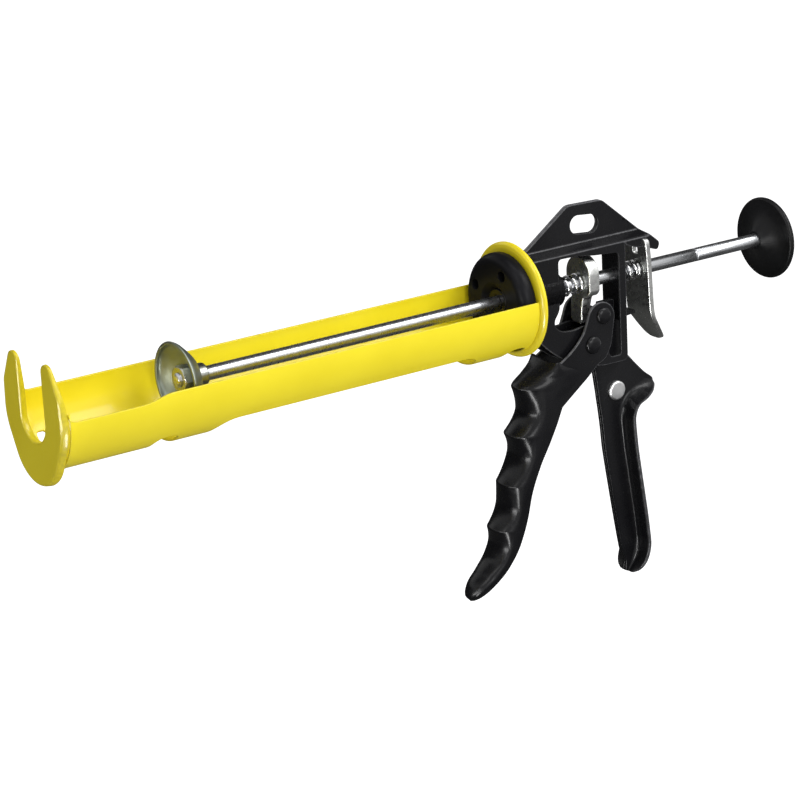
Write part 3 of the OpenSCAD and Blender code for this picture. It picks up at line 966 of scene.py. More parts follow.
@dataclass
class Cradle:
    """Half-round trough with its front plate and rear ring, all in yellow paint.

    Attributes:
        length: From the front plate's inner face to the rear ring.
        inner: Inner radius of the trough.
        sheet: Its thickness.
        wall_top: Height of its side walls above the axis.
        plate: Thickness of the front plate.
        prong_taper: How much thinner its prongs are at their tips.
        rim_growth: How much wider, as a share, the plate's low rim is at the rear.
        ring: Outer radius of the rear ring.
        hub: Radius of the ring's bore.
        flare_rise: How far the trough stands out at the front plate.
        flare_reach: Length over which it does.
    """

    length: float = 261
    inner: float = 25.2
    sheet: float = 1.2
    wall_top: float = 4
    plate: float = 4
    prong_taper: float = 1.9
    rim_growth: float = 0.06
    ring: float = 28.99
    hub: float = 9
    flare_rise: float = 1.7
    flare_reach: float = 5

    @property
    def middle(self) -> float:
        """Radius of the trough's middle surface."""
        return self.inner + self.sheet / 2

    def roll(self, u: Array, v: Array, h: Array) -> Array:
        """Rolls the flat blank: (u, v, h) becomes (u, r sin a, -r cos a).

        Here r is the middle radius + h, and a is v / the middle radius. Near the front plate h grows by
        the flare's rise (1 - u / reach)^2.

        Args:
            u: Places along the trough.
            v: Distances round it from its lowest line.
            h: Heights above its middle surface.

        Returns:
            Points, shape (n, 3).
        """
        a = v / self.middle
        r = self.middle + (h + self.flare_rise * np.clip(1 - u / self.flare_reach, 0, 1) ** 2)
        return np.stack([u, r * np.sin(a), -r * np.cos(a)], axis=1)

    def unroll(self, across_y: Array) -> Array:
        """Distance round the trough from its lowest line to the place whose Y is given."""
        return self.middle * np.arcsin(np.clip(across_y / self.middle, -1, 1))

    def climb(self, z: float) -> float:
        """Distance round the trough from its lowest line to the height z above the axis."""
        return self.middle * (math.pi / 2 + math.asin(z / self.middle))

    def floor_hole(self, start: float, stop: float, low: float, high: float, corner: float) -> Array:
        """A hole that is a rounded rectangle in plan, laid out on the flat blank.

        Args:
            start: Front end along X.
            stop: Rear end along X.
            low: Its lowest Y.
            high: Its highest Y.
            corner: Radius of its corners.

        Returns:
            The outline (u, v).
        """
        box = soften([[start, low], [stop, low], [stop, high], [start, high]], corner * 1.3, 9)
        box = resample(box, 1.5)
        return np.stack([box[:, 0], self.unroll(box[:, 1])], axis=1)

    def trough(self) -> Piece:
        """The trough: a blank with a low front end on its left wall and floor holes, rolled to a half pipe.

        Returns:
            The new object.
        """
        end, wall = self.length, self.wall_top
        left = [[0.15, 5.5], [0.7, 3.4], [1.8, 2.0], [4, 1.4], [40, 1.4], [46, 2.4], [52, wall], [end, wall]]
        right = [[end, wall], [7, wall], [3, 6], [1, 9.4], [0.15, 13]]
        edges = join([[x, -self.climb(z)] for x, z in left], [[x, self.climb(z)] for x, z in right])
        bends = np.array([0.2, 2, 2, 2, 5, 4, 6, 0.3, 0.3, 2, 2, 2, 0.2])
        holes = [
            self.floor_hole(48, 61, -18, 18, 6.4),
            self.floor_hole(80, 231, -19, 19, 9),
            self.floor_hole(248, end - 1.5, -17, 17, 5),
            self.floor_hole(7.5, 12, 2, 20.5, 1.0),
        ]
        outline = soften(edges, bends)
        return plate("cradle_trough_skin", outline, holes, self.sheet, 0.5, self.roll, spacing=3.0, fine=1.5)

    def front_place(self, u: Array, v: Array, h: Array) -> Array:
        """Stands the front plate up: its prongs thin to their tips, and its low rim widens to the rear.

        Args:
            u: Y of the blank's points.
            v: Their Z.
            h: Heights above the blank's middle plane.

        Returns:
            Points, shape (n, 3).
        """
        deep = np.clip(0.5 + h / self.plate, 0, 1)
        thick = self.plate - self.prong_taper * np.clip((v - 5) / 22, 0, 1)
        wide = 1 + self.rim_growth * deep**1.5 * np.clip((12 - v) / 10, 0, 1)
        low = np.where(v < 0, v * (1 + 0.3 * (wide - 1)), v)
        return np.stack([deep * thick - self.plate, u * wide, low], axis=1)

    def front(self) -> Piece:
        """The front plate: a deep shield with two prongs beside the nozzle slot and a well rounded rim.

        Returns:
            The new object.
        """
        half = join(
            arc((0, -12), 20.9, -90, -27.3, 30),
            arc((0, 0), 26.4, -27.3, 4, 14),
            arc((18.5, 10), 7.4, 6, 27, 8),
            arc((15.5, 22.5), 4.4, 27, 180, 22),
            [[11.02, 20], [11, 12], [11, 4]],
            arc((0, -1.5), 11, 0, -90, 24),
        )
        outline = join(half[:-1], mirror(half)[:-1])
        return plate("front_plate_skin", outline, [], self.plate, 1.2, self.front_place, fine=1.0)

    def rear_ring(self) -> Piece:
        """The rear ring: a flat web with a short rolled rim, turned about the axis.

        Returns:
            The new object.
        """
        x, r = self.length, self.ring
        outer = join([[x, self.hub], [x, r - 2.8], [x + 0.5, r - 1.1], [x + 1.7, r], [x + 3, r]])
        inner = join([[x + 3, r - 1.2], [x + 2.2, r - 1.2], [x + 1.5, r - 2.2], [x + 1.5, self.hub]])
        return lathe("rear_ring_skin", soften(join(outer, inner), 0.45, 4), steps=160)

    def build(self, wardrobe: Wardrobe) -> None:
        """Builds and dresses the cradle.

        Args:
            wardrobe: Where the finishes come from.
        """
        wardrobe.dress(self.trough(), Slot.CRADLE_PAINT, Body.CRADLE, "cradle_trough")
        wardrobe.dress(self.front(), Slot.CRADLE_PAINT, Body.CRADLE, "front_plate")
        wardrobe.dress(self.rear_ring(), Slot.CRADLE_PAINT, Body.CRADLE, "rear_ring")


@dataclass
class Swivel:
    """Nut, washer and spindle that carry the turning cradle.

    Attributes:
        face: Front face of the nut.
        back: Its rear face.
        radius: Its outer radius.
        shoulder: Radius of the rounding between its face and its rim.
        bore: Radius of its bore.
        recess: Depth of the central recess in its face.
        keys: Angles of the key holes in degrees.
        key_ring: Radius of their circle.
        key: Radius of a key hole.
        key_depth: Its depth.
    """

    face: float = 252.5
    back: float = 260.85
    radius: float = 24.6
    shoulder: float = 5
    bore: float = 7.1
    recess: float = 2.6
    keys: tuple[float, ...] = (25, 115, 205, 295)
    key_ring: float = 16.5
    key: float = 2.6
    key_depth: float = 3.5

    def nut(self) -> Piece:
        """The swivel nut: a shouldered disc whose front face sinks at each of the key holes.

        The face is a grid over radius and angle. It sinks by the recess times ((10.6 - r) / 3.5)^1.4 near
        the bore, and by the keys' depth times a smooth step of the distance to the nearest key's centre.

        Returns:
            The new object.
        """
        steps, rows = 360, 76
        a = np.linspace(0, 2 * np.pi, steps, endpoint=False)
        r = np.linspace(self.bore, self.radius - self.shoulder, rows)[:, None] * np.ones(steps)
        x = self.face + self.recess * np.clip((10.6 - r) / 3.5, 0, 1) ** 1.4
        for turn in np.radians(self.keys):
            y, z = r * np.cos(a) - self.key_ring * np.cos(turn), r * np.sin(a) - self.key_ring * np.sin(turn)
            step = np.clip((self.key + 0.15 - np.hypot(y, z)) / 0.3, 0, 1)
            x = x + self.key_depth * step * step * (3 - 2 * step)
        back, radius, bend = self.back, self.radius, self.shoulder
        t = np.radians(np.linspace(6, 90, 12))
        rim = join(
            np.stack([self.face + bend - bend * np.cos(t), radius - bend + bend * np.sin(t)], axis=1),
            [[back - 1.2, radius], [back - 0.4, radius - 0.3], [back, radius - 0.9], [back, self.bore]],
        )
        edge = np.broadcast_to(rim[:, None, :], (len(rim), steps, 2))
        xs, rs = np.concatenate([x, edge[:, :, 0]]), np.concatenate([r, edge[:, :, 1]])
        points = np.stack([xs, rs * np.cos(a), rs * np.sin(a)], axis=-1).reshape(-1, 3)
        return make_piece("swivel_nut_skin", points, grid_faces(len(xs), steps, True, True).tolist(), 40)

    def spindle(self) -> Piece:
        """The spindle: a stepped tube with a collar, from inside the nut to the rear end of its barrel.

        Returns:
            The new object.
        """
        seat, end = self.back, SPINDLE_END
        run = [[254.5, 3.56], [254.5, 7], [seat, 7], [seat, 8.94], [267.2, 8.94], [267.2, 12.5]]
        run += [[269.6, 12.5], [269.6, 9], [end, 9], [end, 6.6], [end - 0.8, 5.6], [end - 0.8, 3.56]]
        return lathe("swivel_spindle_skin", soften(run, 0.5, 4))

    def washer(self) -> Piece:
        """The washer between the ring and the spindle's collar."""
        run = [[262.65, 9.1], [262.65, 12.4], [267.05, 12.4], [267.05, 9.1]]
        return lathe("swivel_washer_skin", soften(run, 0.5, 4))

    def build(self, wardrobe: Wardrobe) -> None:
        """Builds and dresses the swivel.

        Args:
            wardrobe: Where the finishes come from.
        """
        wardrobe.dress(self.nut(), Slot.PLASTIC, Body.FRAME, "swivel_nut", finish="nut_plastic")
        wardrobe.dress(self.spindle(), Slot.FRAME_PAINT, Body.FRAME, "swivel_spindle")
        wardrobe.dress(self.washer(), Slot.ZINC, Body.FRAME, "swivel_washer")


@dataclass
class Rod:
    """Push rod with its piston and knob.

    Attributes:
        radius: Radius of the rod.
        piston: Place of the piston disc.
        piston_radius: Radius of the disc.
        knob: Place of the knob's rim.
        knob_radius: Radius of the knob.
        groove: Place of the stop groove.
        dish: Depth of the piston disc's dish.
        thread: Depth of the thread at the rod's tip.
        nut: Half the width of the piston nut over its flats.
    """

    radius: float = 3.5
    piston: float = 70
    piston_radius: float = 18.6
    knob: float = 430
    knob_radius: float = 21.4
    groove: float = 380
    dish: float = 7.2
    thread: float = 0.3
    nut: float = 6.0

    def rod(self) -> Piece:
        """The rod: a bar with a chamfered tip, a rolled thread in the piston nut and one stop groove.

        On the thread the radius is that of the bar less the depth times the triangle wave of x + a / 2 pi.

        Returns:
            The new object.
        """
        r, tip, notch = self.radius, self.piston + 0.5, self.groove
        thread = np.linspace(tip + 1, tip + 7, 60)
        run = join(
            [[tip, 0], [tip, r - 1.1], [tip + 0.3, r - 0.7]],
            np.stack([thread, np.full(60, r)], axis=1),
            [[self.piston + 12, r], [self.piston + 60, r], [200, r], [300, r]],
            [[notch - 0.1, r], [notch, r - 0.1], [notch + 0.1, r - 0.35], [notch + 1.1, r - 0.35]],
            [[notch + 1.2, r - 0.1], [notch + 1.3, r], [self.knob + 2, r], [self.knob + 2, 0]],
        )

        def cut(x: Array, radius: Array, a: Array) -> Array:
            """Takes the thread off the radius, and fades it in and out over 0.6 mm.

            Args:
                x: Places along the rod.
                radius: Its radius there.
                a: Angles round it.

            Returns:
                The radius at each place and angle.
            """
            wave = np.abs(((x + a / (2 * np.pi)) % 1) * 2 - 1)
            on = np.clip((x - tip - 0.8) / 0.6, 0, 1) * np.clip((tip + 7 - x) / 0.6, 0, 1)
            return radius - self.thread * wave * on

        return lathe("push_rod_skin", run, closed=False, steps=48, crease=60, radius=cut)

    def piston_disc(self) -> Piece:
        """The piston disc: a deep pressed dish with a flat floor and a short straight rim.

        Returns:
            The new object.
        """
        x, r, back, bore = self.piston, self.piston_radius, self.piston + self.dish, self.radius
        front = [[back, bore], [back, 9.2], [back - 0.5, 10.6]]
        front += [[x + 4.6, 14.2], [x + 2.2, r - 1.8], [x, r - 1.5]]
        rear = [[x, r - 0.2], [x + 0.5, r], [x + 2.0, r - 0.8], [x + 5.3, 14.6]]
        rear += [[back + 1.1, 11.2], [back + 1.5, 9.6], [back + 1.5, bore]]
        bends = [0.3, 1.2, 1.2, 2, 1.2, 0.3, 0.3, 1, 1, 2, 1, 1, 0.3]
        return lathe("piston_disc_skin", soften(join(front, rear), bends, 6), steps=160)

    def piston_nut(self) -> Piece:
        """The piston nut: its radius is the hexagon flat / cos(a mod 60 - 30), cut by the chamfers' cones.

        Returns:
            The new object.
        """
        start, stop = self.piston + self.dish - 5.2, self.piston + self.dish
        chamfer = np.array([0, 0, 0.2, 0.5, 0.9])
        rows = np.concatenate([start + chamfer, (stop - chamfer)[::-1]])
        a = np.linspace(0, 2 * np.pi, 240, endpoint=False)
        corner = self.nut / np.cos((a % (np.pi / 3)) - np.pi / 6)
        depth = np.minimum(rows - start, stop - rows)[:, None]
        r = np.minimum(corner[None], self.nut * 0.98 + depth * 1.6)
        r[0], r[-1] = self.radius, self.radius
        points = np.stack([np.broadcast_to(rows[:, None], r.shape), r * np.cos(a), r * np.sin(a)], axis=-1)
        faces = grid_faces(len(rows), len(a), True, True).tolist()
        return make_piece("piston_nut_skin", points.reshape(-1, 3), faces, 25)

    def collar(self) -> Piece:
        """The collar behind the piston: a flange and a barrel with a chamfered end.

        Returns:
            The new object.
        """
        x, r = self.piston + self.dish + 1.5, self.radius
        run = [[x, r], [x, 7.2], [x + 1.4, 7.2], [x + 2.2, 5.6], [x + 6.4, 5.6], [x + 7.2, 4.8], [x + 7.2, r]]
        return lathe("piston_collar_skin", soften(run, 0.35, 4), steps=72)

    def knob_disc(self) -> Piece:
        """The knob: a trumpet with a round rim and a dished back.

        Over the flare s from 0 to 1, x goes back by 5.7 (1 - (1 - s)^1.9) and the radius grows evenly.

        Returns:
            The new object.
        """
        x, r = self.knob, self.knob_radius
        s = np.linspace(0, 1, 22)
        run = join(
            [[x - 5.9, self.radius], [x - 7.6, self.radius], [x - 7.6, 4.6]],
            np.stack([x - 7.3 + 5.7 * (1 - (1 - s) ** 1.9), 5 + 14.2 * s], axis=1),
            arc((x, r - 1.9), 1.9, 150, -10, 12),
            [[x + 2.4, r - 4], [x + 3.4, 13], [x + 3.7, 7.4], [x - 2.4, 7.4], [x - 2.4, 5.0], [x - 5.9, 5.0]],
        )
        return lathe("rod_knob_skin", soften(run, 0.3, 3), steps=128)

    def cap(self) -> Piece:
        """The press cap in the knob's back: a stepped plug with a low crown.

        Returns:
            The new object.
        """
        x, r = self.knob, self.radius
        run = join(
            [[x - 5.8, r], [x - 5.8, 4.9], [x - 2.3, 4.9], [x - 2.3, 7.3], [x + 3.2, 7.3]],
            [[x + 4.0, 6.6], [x + 4.3, 5], [x + 4.4, 0.02], [x - 3.9, 0.02], [x - 3.9, r]],
        )
        return lathe("knob_cap_skin", soften(run, 0.4, 4), steps=64)

    def build(self, wardrobe: Wardrobe) -> None:
        """Builds and dresses the rod.

        Args:
            wardrobe: Where the finishes come from.
        """
        wardrobe.dress(self.rod(), Slot.ROD_STEEL, Body.ROD, "push_rod")
        wardrobe.dress(self.piston_disc(), Slot.ZINC, Body.ROD, "piston_disc", finish="piston_zinc")
        wardrobe.dress(self.piston_nut(), Slot.ZINC, Body.ROD, "piston_nut")
        wardrobe.dress(self.collar(), Slot.ZINC, Body.ROD, "piston_collar")
        wardrobe.dress(self.knob_disc(), Slot.PLASTIC, Body.ROD, "rod_knob")
        wardrobe.dress(self.cap(), Slot.PLASTIC, Body.ROD, "knob_cap")


@dataclass
class RivetHead:
    """A domed or shouldered rivet head that stands on a face across the gun.

    Attributes:
        at: Its axis in the side view, (x, z).
        radius: Radius of the head.
        face: Distance of the face from the gun's middle plane.
        rise: Height of the head.
        shank: Radius of the shank through the gun.
    """

    at: tuple[float, float]
    radius: float
    face: float
    rise: float
    shank: float

    def profile(self, domed: bool) -> Array:
        """Half outline, from the axis out and back to the shank.

        Args:
            domed: Whether the head is a dome; if not, it is flat with a shoulder.

        Returns:
            Points (distance from the middle plane, radius).
        """
        f, r, top = self.face, self.radius, self.face + self.rise
        if domed:
            a = np.radians(np.linspace(90, 8, 14))
            dome = np.stack([f + self.rise * np.sin(a) ** 0.9, r * np.cos(a) ** 0.8], axis=1)
            return join(dome, [[f + 0.15, r], [f, r - 0.15], [f, self.shank]])
        run = [[top, 0.5], [top, r - 0.75], [top - 0.75, r - 0.1], [f, r], [f, self.shank]]
        return join([[top, 0]], soften(run, 0.45, 4, closed=False))

    def build(self, name: str, domed: bool) -> Piece:
        """Both heads and the shank as one piece: the half outline and its mirror image, turned about the axis.

        A point (y, r) of the outline becomes (x + r cos a, y, z + r sin a), where (x, z) is the rivet's axis.

        Args:
            name: The piece's name.
            domed: Whether the heads are domes; if not, they are flat with a shoulder.

        Returns:
            The new object.
        """
        half = self.profile(domed)
        run = join(half, mirror(half))
        steps, (x, z) = 48, self.at
        a = np.linspace(0, 2 * np.pi, steps, endpoint=False)
        inner = run[1:-1]
        y, r = np.broadcast_to(inner[:, :1], (len(inner), steps)), inner[:, 1:]
        points = np.stack([x + r * np.cos(a), y, z + r * np.sin(a)], axis=-1).reshape(-1, 3)
        faces = grid_faces(len(inner), steps, False, True).tolist()
        ring = np.arange(steps)
        after, base, pole = np.roll(ring, -1), (len(inner) - 1) * steps, np.full(steps, len(points))
        faces += np.stack([pole, ring, after], axis=1).tolist()
        faces += np.stack([pole + 1, base + after, base + ring], axis=1).tolist()
        poles = np.array([[x, run[0, 0], z], [x, run[-1, 0], z]])
        return make_piece(name, np.concatenate([points, poles]), faces, 45)


@dataclass
class Mechanism:
    """Springs, drive plate and release lever.

    Attributes:
        spindle_end: Rear end of the spindle.
        drive: Front face of the drive plate.
        drive_thick: Its thickness.
        drive_lean: How far its head lies back.
        guide: Front face of the rear guide.
        guide_thick: Its thickness.
        lever: Thickness of the release lever.
        lever_run: Line of the lever's front face as (z, x), from its head down to the thumb tab.
    """

    spindle_end: float = SPINDLE_END
    drive: float = 303.3
    drive_thick: float = 6
    drive_lean: float = 2.0
    guide: float = 326
    guide_thick: float = 4.5
    lever: float = 2.9
    lever_run: tuple[tuple[float, float], ...] = (
        (17.6, 341.3), (6, 342.3), (-8, 342.9), (-20, 343.5), (-23.6, 344.2), (-29.4, 347.5), (-38.9, 354),
    )

    def tilt(self, u: Array, v: Array, h: Array) -> Array:
        """Stands the drive plate up: its head lies back and is 10% thicker, its tail is upright on the pin.

        Args:
            u: Y of the blank's points.
            v: Their Z.
            h: Heights above the blank's middle plane.

        Returns:
            Points, shape (n, 3).
        """
        back = self.drive_lean * np.clip((v + 12) / 9, 0, 1)
        return np.stack([self.drive + self.drive_thick / 2 + back + h * (1 + 0.05 * back), u, v], axis=1)

    def drive_plate(self) -> Piece:
        """The drive plate: an arched head with the rod's hole and a slim tail.

        Returns:
            The new object.
        """
        right = [[9.6, 4.4], [9.6, -3.6], [8.4, -5.4], [4.5, -6.8], [4.5, -18.6], [2.6, -20.4]]
        right = soften(right, [0.1, 1.2, 0.8, 1.2, 1.2, 0.8], 4, closed=False)
        half = join(arc((0, 4.4), 9.6, 90, 0, 24), right[1:])
        outline, holes, thick = join(half, mirror(half)[:-1]), [disc((0, 0), 3.56)], self.drive_thick
        return plate("drive_plate_skin", outline, holes, thick, 0.7, self.tilt, spacing=2.0, fine=0.8)

    def lean(self, u: Array, v: Array, h: Array) -> Array:
        """Leans the lever back: x is eased through the run's knots, and the thickness is added along X.

        Args:
            u: Y of the blank's points.
            v: Their Z.
            h: Heights above the blank's middle plane.

        Returns:
            Points, shape (n, 3).
        """
        return np.stack([ease(v, self.lever_run) + self.lever / 2 + h, u, v], axis=1)

    def release_lever(self) -> Piece:
        """The release lever: a leaning sheet forked over the hanging plate, with a bent-out thumb tab.

        Returns:
            The new object.
        """
        right = np.array([[1.85, 8.6], [1.85, 17.4], [9.4, 17.6], [9.6, -24], [8.3, -30], [5.4, -38.6]])
        bends = [0.6, 0.5, 6.2, 2.5, 2.5, 4.4]
        outline, holes = soften(join(right, mirror(right)), bends + bends[::-1], 9), [disc((0, 0), 3.95)]
        return plate("release_lever_skin", outline, holes, self.lever, 0.6, self.lean, spacing=1.6, fine=0.8)

    def build(self, wardrobe: Wardrobe) -> None:
        """Builds and dresses the mechanism, and gives each spring a mesh of its own.

        Args:
            wardrobe: Where the finishes come from.
        """
        drive_spring = coil("drive_spring_wire", self.spindle_end + 0.1, self.drive + 1.7, 4.55, 0.8, 3.9)
        wardrobe.dress(drive_spring, Slot.SPRING, Body.FRAME, "drive_spring")
        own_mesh(drive_spring)
        seat = self.guide + self.guide_thick + 0.8
        release_spring = coil("release_spring_wire", seat, 342.0, 4.45, 0.7, 3.6)
        wardrobe.dress(release_spring, Slot.SPRING, Body.FRAME, "release_spring")
        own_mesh(release_spring)
        wardrobe.dress(self.drive_plate(), Slot.ZINC, Body.DRIVE, "drive_plate")
        wardrobe.dress(self.release_lever(), Slot.ZINC, Body.RELEASE, "release_lever")


@dataclass
class FrameSides:
    """The two pressed side plates, joined at the hanging plate and spread below it.

    Attributes:
        half: Half width over both walls.
        sheet: Sheet thickness.
        shelf: Height above which the plates lie together.
        bend: Height below which the walls are fully spread.
        slot: Length and height of the hanging slot.
    """

    half: float = 7.1
    sheet: float = 1.5
    shelf: float = 21.2
    bend: float = 18.4
    slot: tuple[float, float] = (17.5, 9.5)

    def outline(self) -> Array:
        """Side view of one plate, from the front post round the hanging plate to the foot of the rear post.

        Returns:
            Points (x, z).
        """
        corners = join(
            [[269.7, 17], [270, 21.2], [273.6, 23.4], [299, 41.1], [320.6, 40.5], [353, 13.6], [351.4, 9.7]],
            [[346.5, 11.4], [344.4, 12.9], [338, 13.4], [332, 15.6], [330.4, 17], [330.4, -44], [313, -43.6]],
            [[303, -40.4], [293, -38], [281, -29.6], [273.5, -22], [269.7, -15]],
        )
        bends = [0.8, 1.2, 1.2, 2.2, 2.2, 2.2, 1.6, 1.2, 1.2, 2, 2, 1, 3.5, 3, 4, 4, 5, 5, 5]
        return soften(corners, bends, 6)

    def window(self) -> Array:
        """Outline of the large window in the wall.

        Returns:
            Points (x, z).
        """
        corners = join(
            [[288, 16.5], [299, 16.2], [311, 14.4], [326, 13.2], [326, -40.2], [319.5, -40.2]],
            [[314.5, -31], [310.8, -22.4], [303.6, -20.2], [296, -21.5], [288.4, -20.6]],
            [[284.6, -17.4], [284.6, -14], [288, -9.5]],
        )
        return soften(corners, [2.2, 2.2, 2.2, 2.2, 1.5, 1.5, 4, 3, 3, 3, 3, 3, 3, 4], 6)

    def hanging_slot(self) -> Array:
        """Outline of the hanging slot, which falls by 0.8 mm to the rear.

        Returns:
            Points (x, z).
        """
        long, high = self.slot
        reach, round_end = (long - high) / 2, high / 2
        rear = arc((309 + reach, 29.6), round_end, -90, 90, 16)
        return join(rear, arc((309 - reach, 30.4), round_end, 90, 270, 16))

    def spread(self, side: Side) -> Place:
        """Bending of one plate: y goes from the middle plane above the shelf to the wall below the bend.

        Args:
            side: Which plate.

        Returns:
            The bending.
        """
        inner, outer = self.sheet / 2 + 0.02, self.half - self.sheet / 2
        knots = [[self.shelf + 0.4, inner], [self.shelf - 0.4, inner + 0.35]]
        knots += [[self.bend + 0.7, outer - 0.35], [self.bend - 0.2, outer]]

        def place(u: Array, v: Array, h: Array) -> Array:
            """The blank's points (u, v, h) as (x, y, z)."""
            return np.stack([u, side.value * (line(v, knots) + h), v], axis=1)

        return place

    def build(self, wardrobe: Wardrobe) -> None:
        """Builds and dresses both plates, and dresses the solid blocks between them.

        Args:
            wardrobe: Where the finishes come from.
        """
        levels = (17.6, 18.2, 18.6, 19.1, 20.6, 21.0, 21.3, 21.8)
        for side in Side:
            name = f"frame_side_{side.name.lower()}"
            skin = plate(
                f"{name}_skin",
                self.outline(),
                [self.window(), self.hanging_slot()],
                self.sheet,
                0.45,
                self.spread(side),
                spacing=1.5,
                fine=1.0,
                levels=levels,
                # The two bend rows get a painted highlight line, and the hole edges take a quarter of the
                # painted edge colour.
                lines=(levels[1], levels[6]),
                hole_painted_edge=0.25,
            )
            wardrobe.dress(skin, Slot.FRAME_PAINT, Body.FRAME, name, finish="painted_highlight_black_paint")
        run = [[271.4, 7.7], [271.4, 9], [SPINDLE_END, 9], [SPINDLE_END, 7.7]]
        barrel = lathe("bush_barrel_skin", soften(run, 0.5, 4))
        wardrobe.dress(barrel, Slot.FRAME_PAINT, Body.FRAME)
        for node in ("rear_guide", "pivot_spacers"):
            wardrobe.dress_node(node)


@dataclass
class Trigger:
    """Finger-grooved trigger: two side arms on a pressed channel.

    Attributes:
        top: Height of the channel's upper end.
        toe: Height of its toe.
        sheet: Sheet thickness of the channel.
        nose: Power p of the channel's rounded nose, where 1 is an ellipse.
        front: Front line as (z, x).
        rear: Rear line as (z, x).
        hollows: The finger hollows and the dips beside them, as places in the front line.
        scallops: Pairs of a crest and the hollow beside it, as places in the front line.
        width: Half width as (z, y).
        arm_sheet: Sheet thickness of a side arm.
        arm_at: Distance of an arm's middle from the gun's middle plane.
        thrust: Axis of the upper pin, which pushes the drive plate, as (x, z).
        pivot: Axis of the lower pin, on which the trigger turns.
    """

    top: float = -34.6
    toe: float = -151
    sheet: float = 1.3
    nose: float = 0.92
    front: tuple[tuple[float, float], ...] = (
        (-34.5, 281), (-37.5, 277), (-41.5, 269.5), (-46.5, 263), (-59.2, 266.8), (-69.8, 257.7),
        (-80.5, 261.4), (-94.4, 252.4), (-105, 252.9), (-116.6, 245.1), (-124, 246.8), (-131, 244),
        (-138, 236.6), (-144, 230.4), (-148.5, 228.6), (-151, 230.4),
    )
    rear: tuple[tuple[float, float], ...] = (
        (-34.5, 284), (-37.5, 290), (-40, 299), (-42.2, 304.5), (-46.1, 302.6), (-52.5, 294.2),
        (-59.9, 289.4), (-75.6, 279.7), (-86.2, 272.5), (-99.9, 266.2), (-112.5, 263.4), (-125.5, 258.3),
        (-135.2, 251.1), (-142.6, 243.2), (-148, 237), (-151, 232.4),
    )
    hollows: tuple[int, ...] = (4, 6, 8, 10, 11)
    scallops: tuple[tuple[int, int], ...] = ((3, 4), (5, 4), (5, 6), (7, 6), (7, 8), (9, 8), (9, 10))
    width: tuple[tuple[float, float], ...] = (
        (-34.5, 11.2), (-40, 11.8), (-60, 11.6), (-100, 10.6), (-130, 9.6), (-140, 8.6), (-145.5, 7.0),
        (-149, 4.6), (-150.5, 2.4), (-151, 0.9),
    )
    arm_sheet: float = 1.6
    arm_at: float = 9.8
    thrust: tuple[float, float] = (312.5, -16.3)
    pivot: tuple[float, float] = (305.3, -30.1)

    def front_line(self, z: Array) -> Array:
        """The front line: between a crest and a hollow, x rises from the hollow as (1 - t)^1.7.

        Args:
            z: Heights to read.

        Returns:
            X of the front line there.
        """
        x = ease(z, self.front)
        for crest, hollow in self.scallops:
            (z0, x0), (z1, x1) = self.front[crest], self.front[hollow]
            t = (z - z0) / (z1 - z0)
            x = np.where((t >= 0) & (t <= 1), x1 + (x0 - x1) * np.abs(1 - t) ** 1.7, x)
        return x

    def grip(self) -> Piece:
        """The grip: level sections of a channel open at the back, stacked from top to toe.

        Each section runs from the left cheek's rear edge forward in a straight line, round the nose
        n (1 - cos^p b), w sin^p b, back along the right cheek, and home along a copy set in by the sheet.
        The nose begins at a line behind the crests, so that the finger hollows cut into the nose alone.

        Returns:
            The new object.
        """
        z = np.linspace(self.top, self.toe, 260)
        f, w = self.front_line(z), ease(z, self.width)
        crests = ease(z, [knot for i, knot in enumerate(self.front) if i not in self.hollows])
        fuller = 1.6 * np.clip((-44 - z) / 22, 0, 1) * np.clip((z - self.toe) / 8, 0, 1)
        back = crests * 0.231 + ease(z, self.rear) * 0.769 + fuller
        start = crests + 0.66 * (back - crests)
        b = np.radians(np.linspace(90, -90, 49))
        bow = 1 - np.abs(np.cos(b)) ** self.nose
        wing = np.sign(np.sin(b)) * np.abs(np.sin(b)) ** self.nose
        t = np.linspace(0, 1, 9)[:-1]

        def section(inset: float) -> Array:
            """One run of every section, from the left rear edge round to the right one.

            Args:
                inset: How far the run lies inside the outer face.

            Returns:
                Points, shape (sections, points, 3).
            """
            half = np.maximum(w - inset, 0.3)
            tip = np.minimum(f + inset * 1.1, start - 0.8)
            x = tip[:, None] + (start - tip)[:, None] * bow
            side = back[:, None] * (1 - t) + start[:, None] * t
            y, cheek = half[:, None] * wing, half[:, None] * (0.95 + 0.05 * t)
            x = np.concatenate([side, x, side[:, ::-1]], axis=1)
            y = np.concatenate([cheek, y, -cheek[:, ::-1]], axis=1)
            return np.stack([x, y, np.broadcast_to(z[:, None], x.shape)], axis=-1)

        runs = [section(0), section(self.sheet)[:, ::-1]]
        return loft("trigger_grip_skin", np.concatenate(runs, axis=1), 60)

    def arm(self, side: Side) -> Piece:
        """One side arm: a flat blank with a round head, two pin holes and a curved throat.

        Args:
            side: Which arm.

        Returns:
            The new object.
        """
        outline = join(
            arc((311.1, -17.6), 8.5, -12, 158, 20),
            [[302.2, -17.4], [299.8, -23.3], [295, -28.6], [289.6, -32.7], [281, -37.4], [277, -42.5]],
            [[275, -56], [275, -63], [279, -63], [290.5, -54.5], [301.5, -46.6], [308.2, -41]],
            [[313.4, -38.9], [317, -32.6]],
        )
        name, outline = f"trigger_arm_{side.name.lower()}_skin", soften(outline, 2.2, 4)
        holes, place = [disc(self.thrust, 3), disc(self.pivot, 3.56)], across(side.value * self.arm_at)
        return plate(name, outline, holes, self.arm_sheet, 0.5, place, fine=0.9)

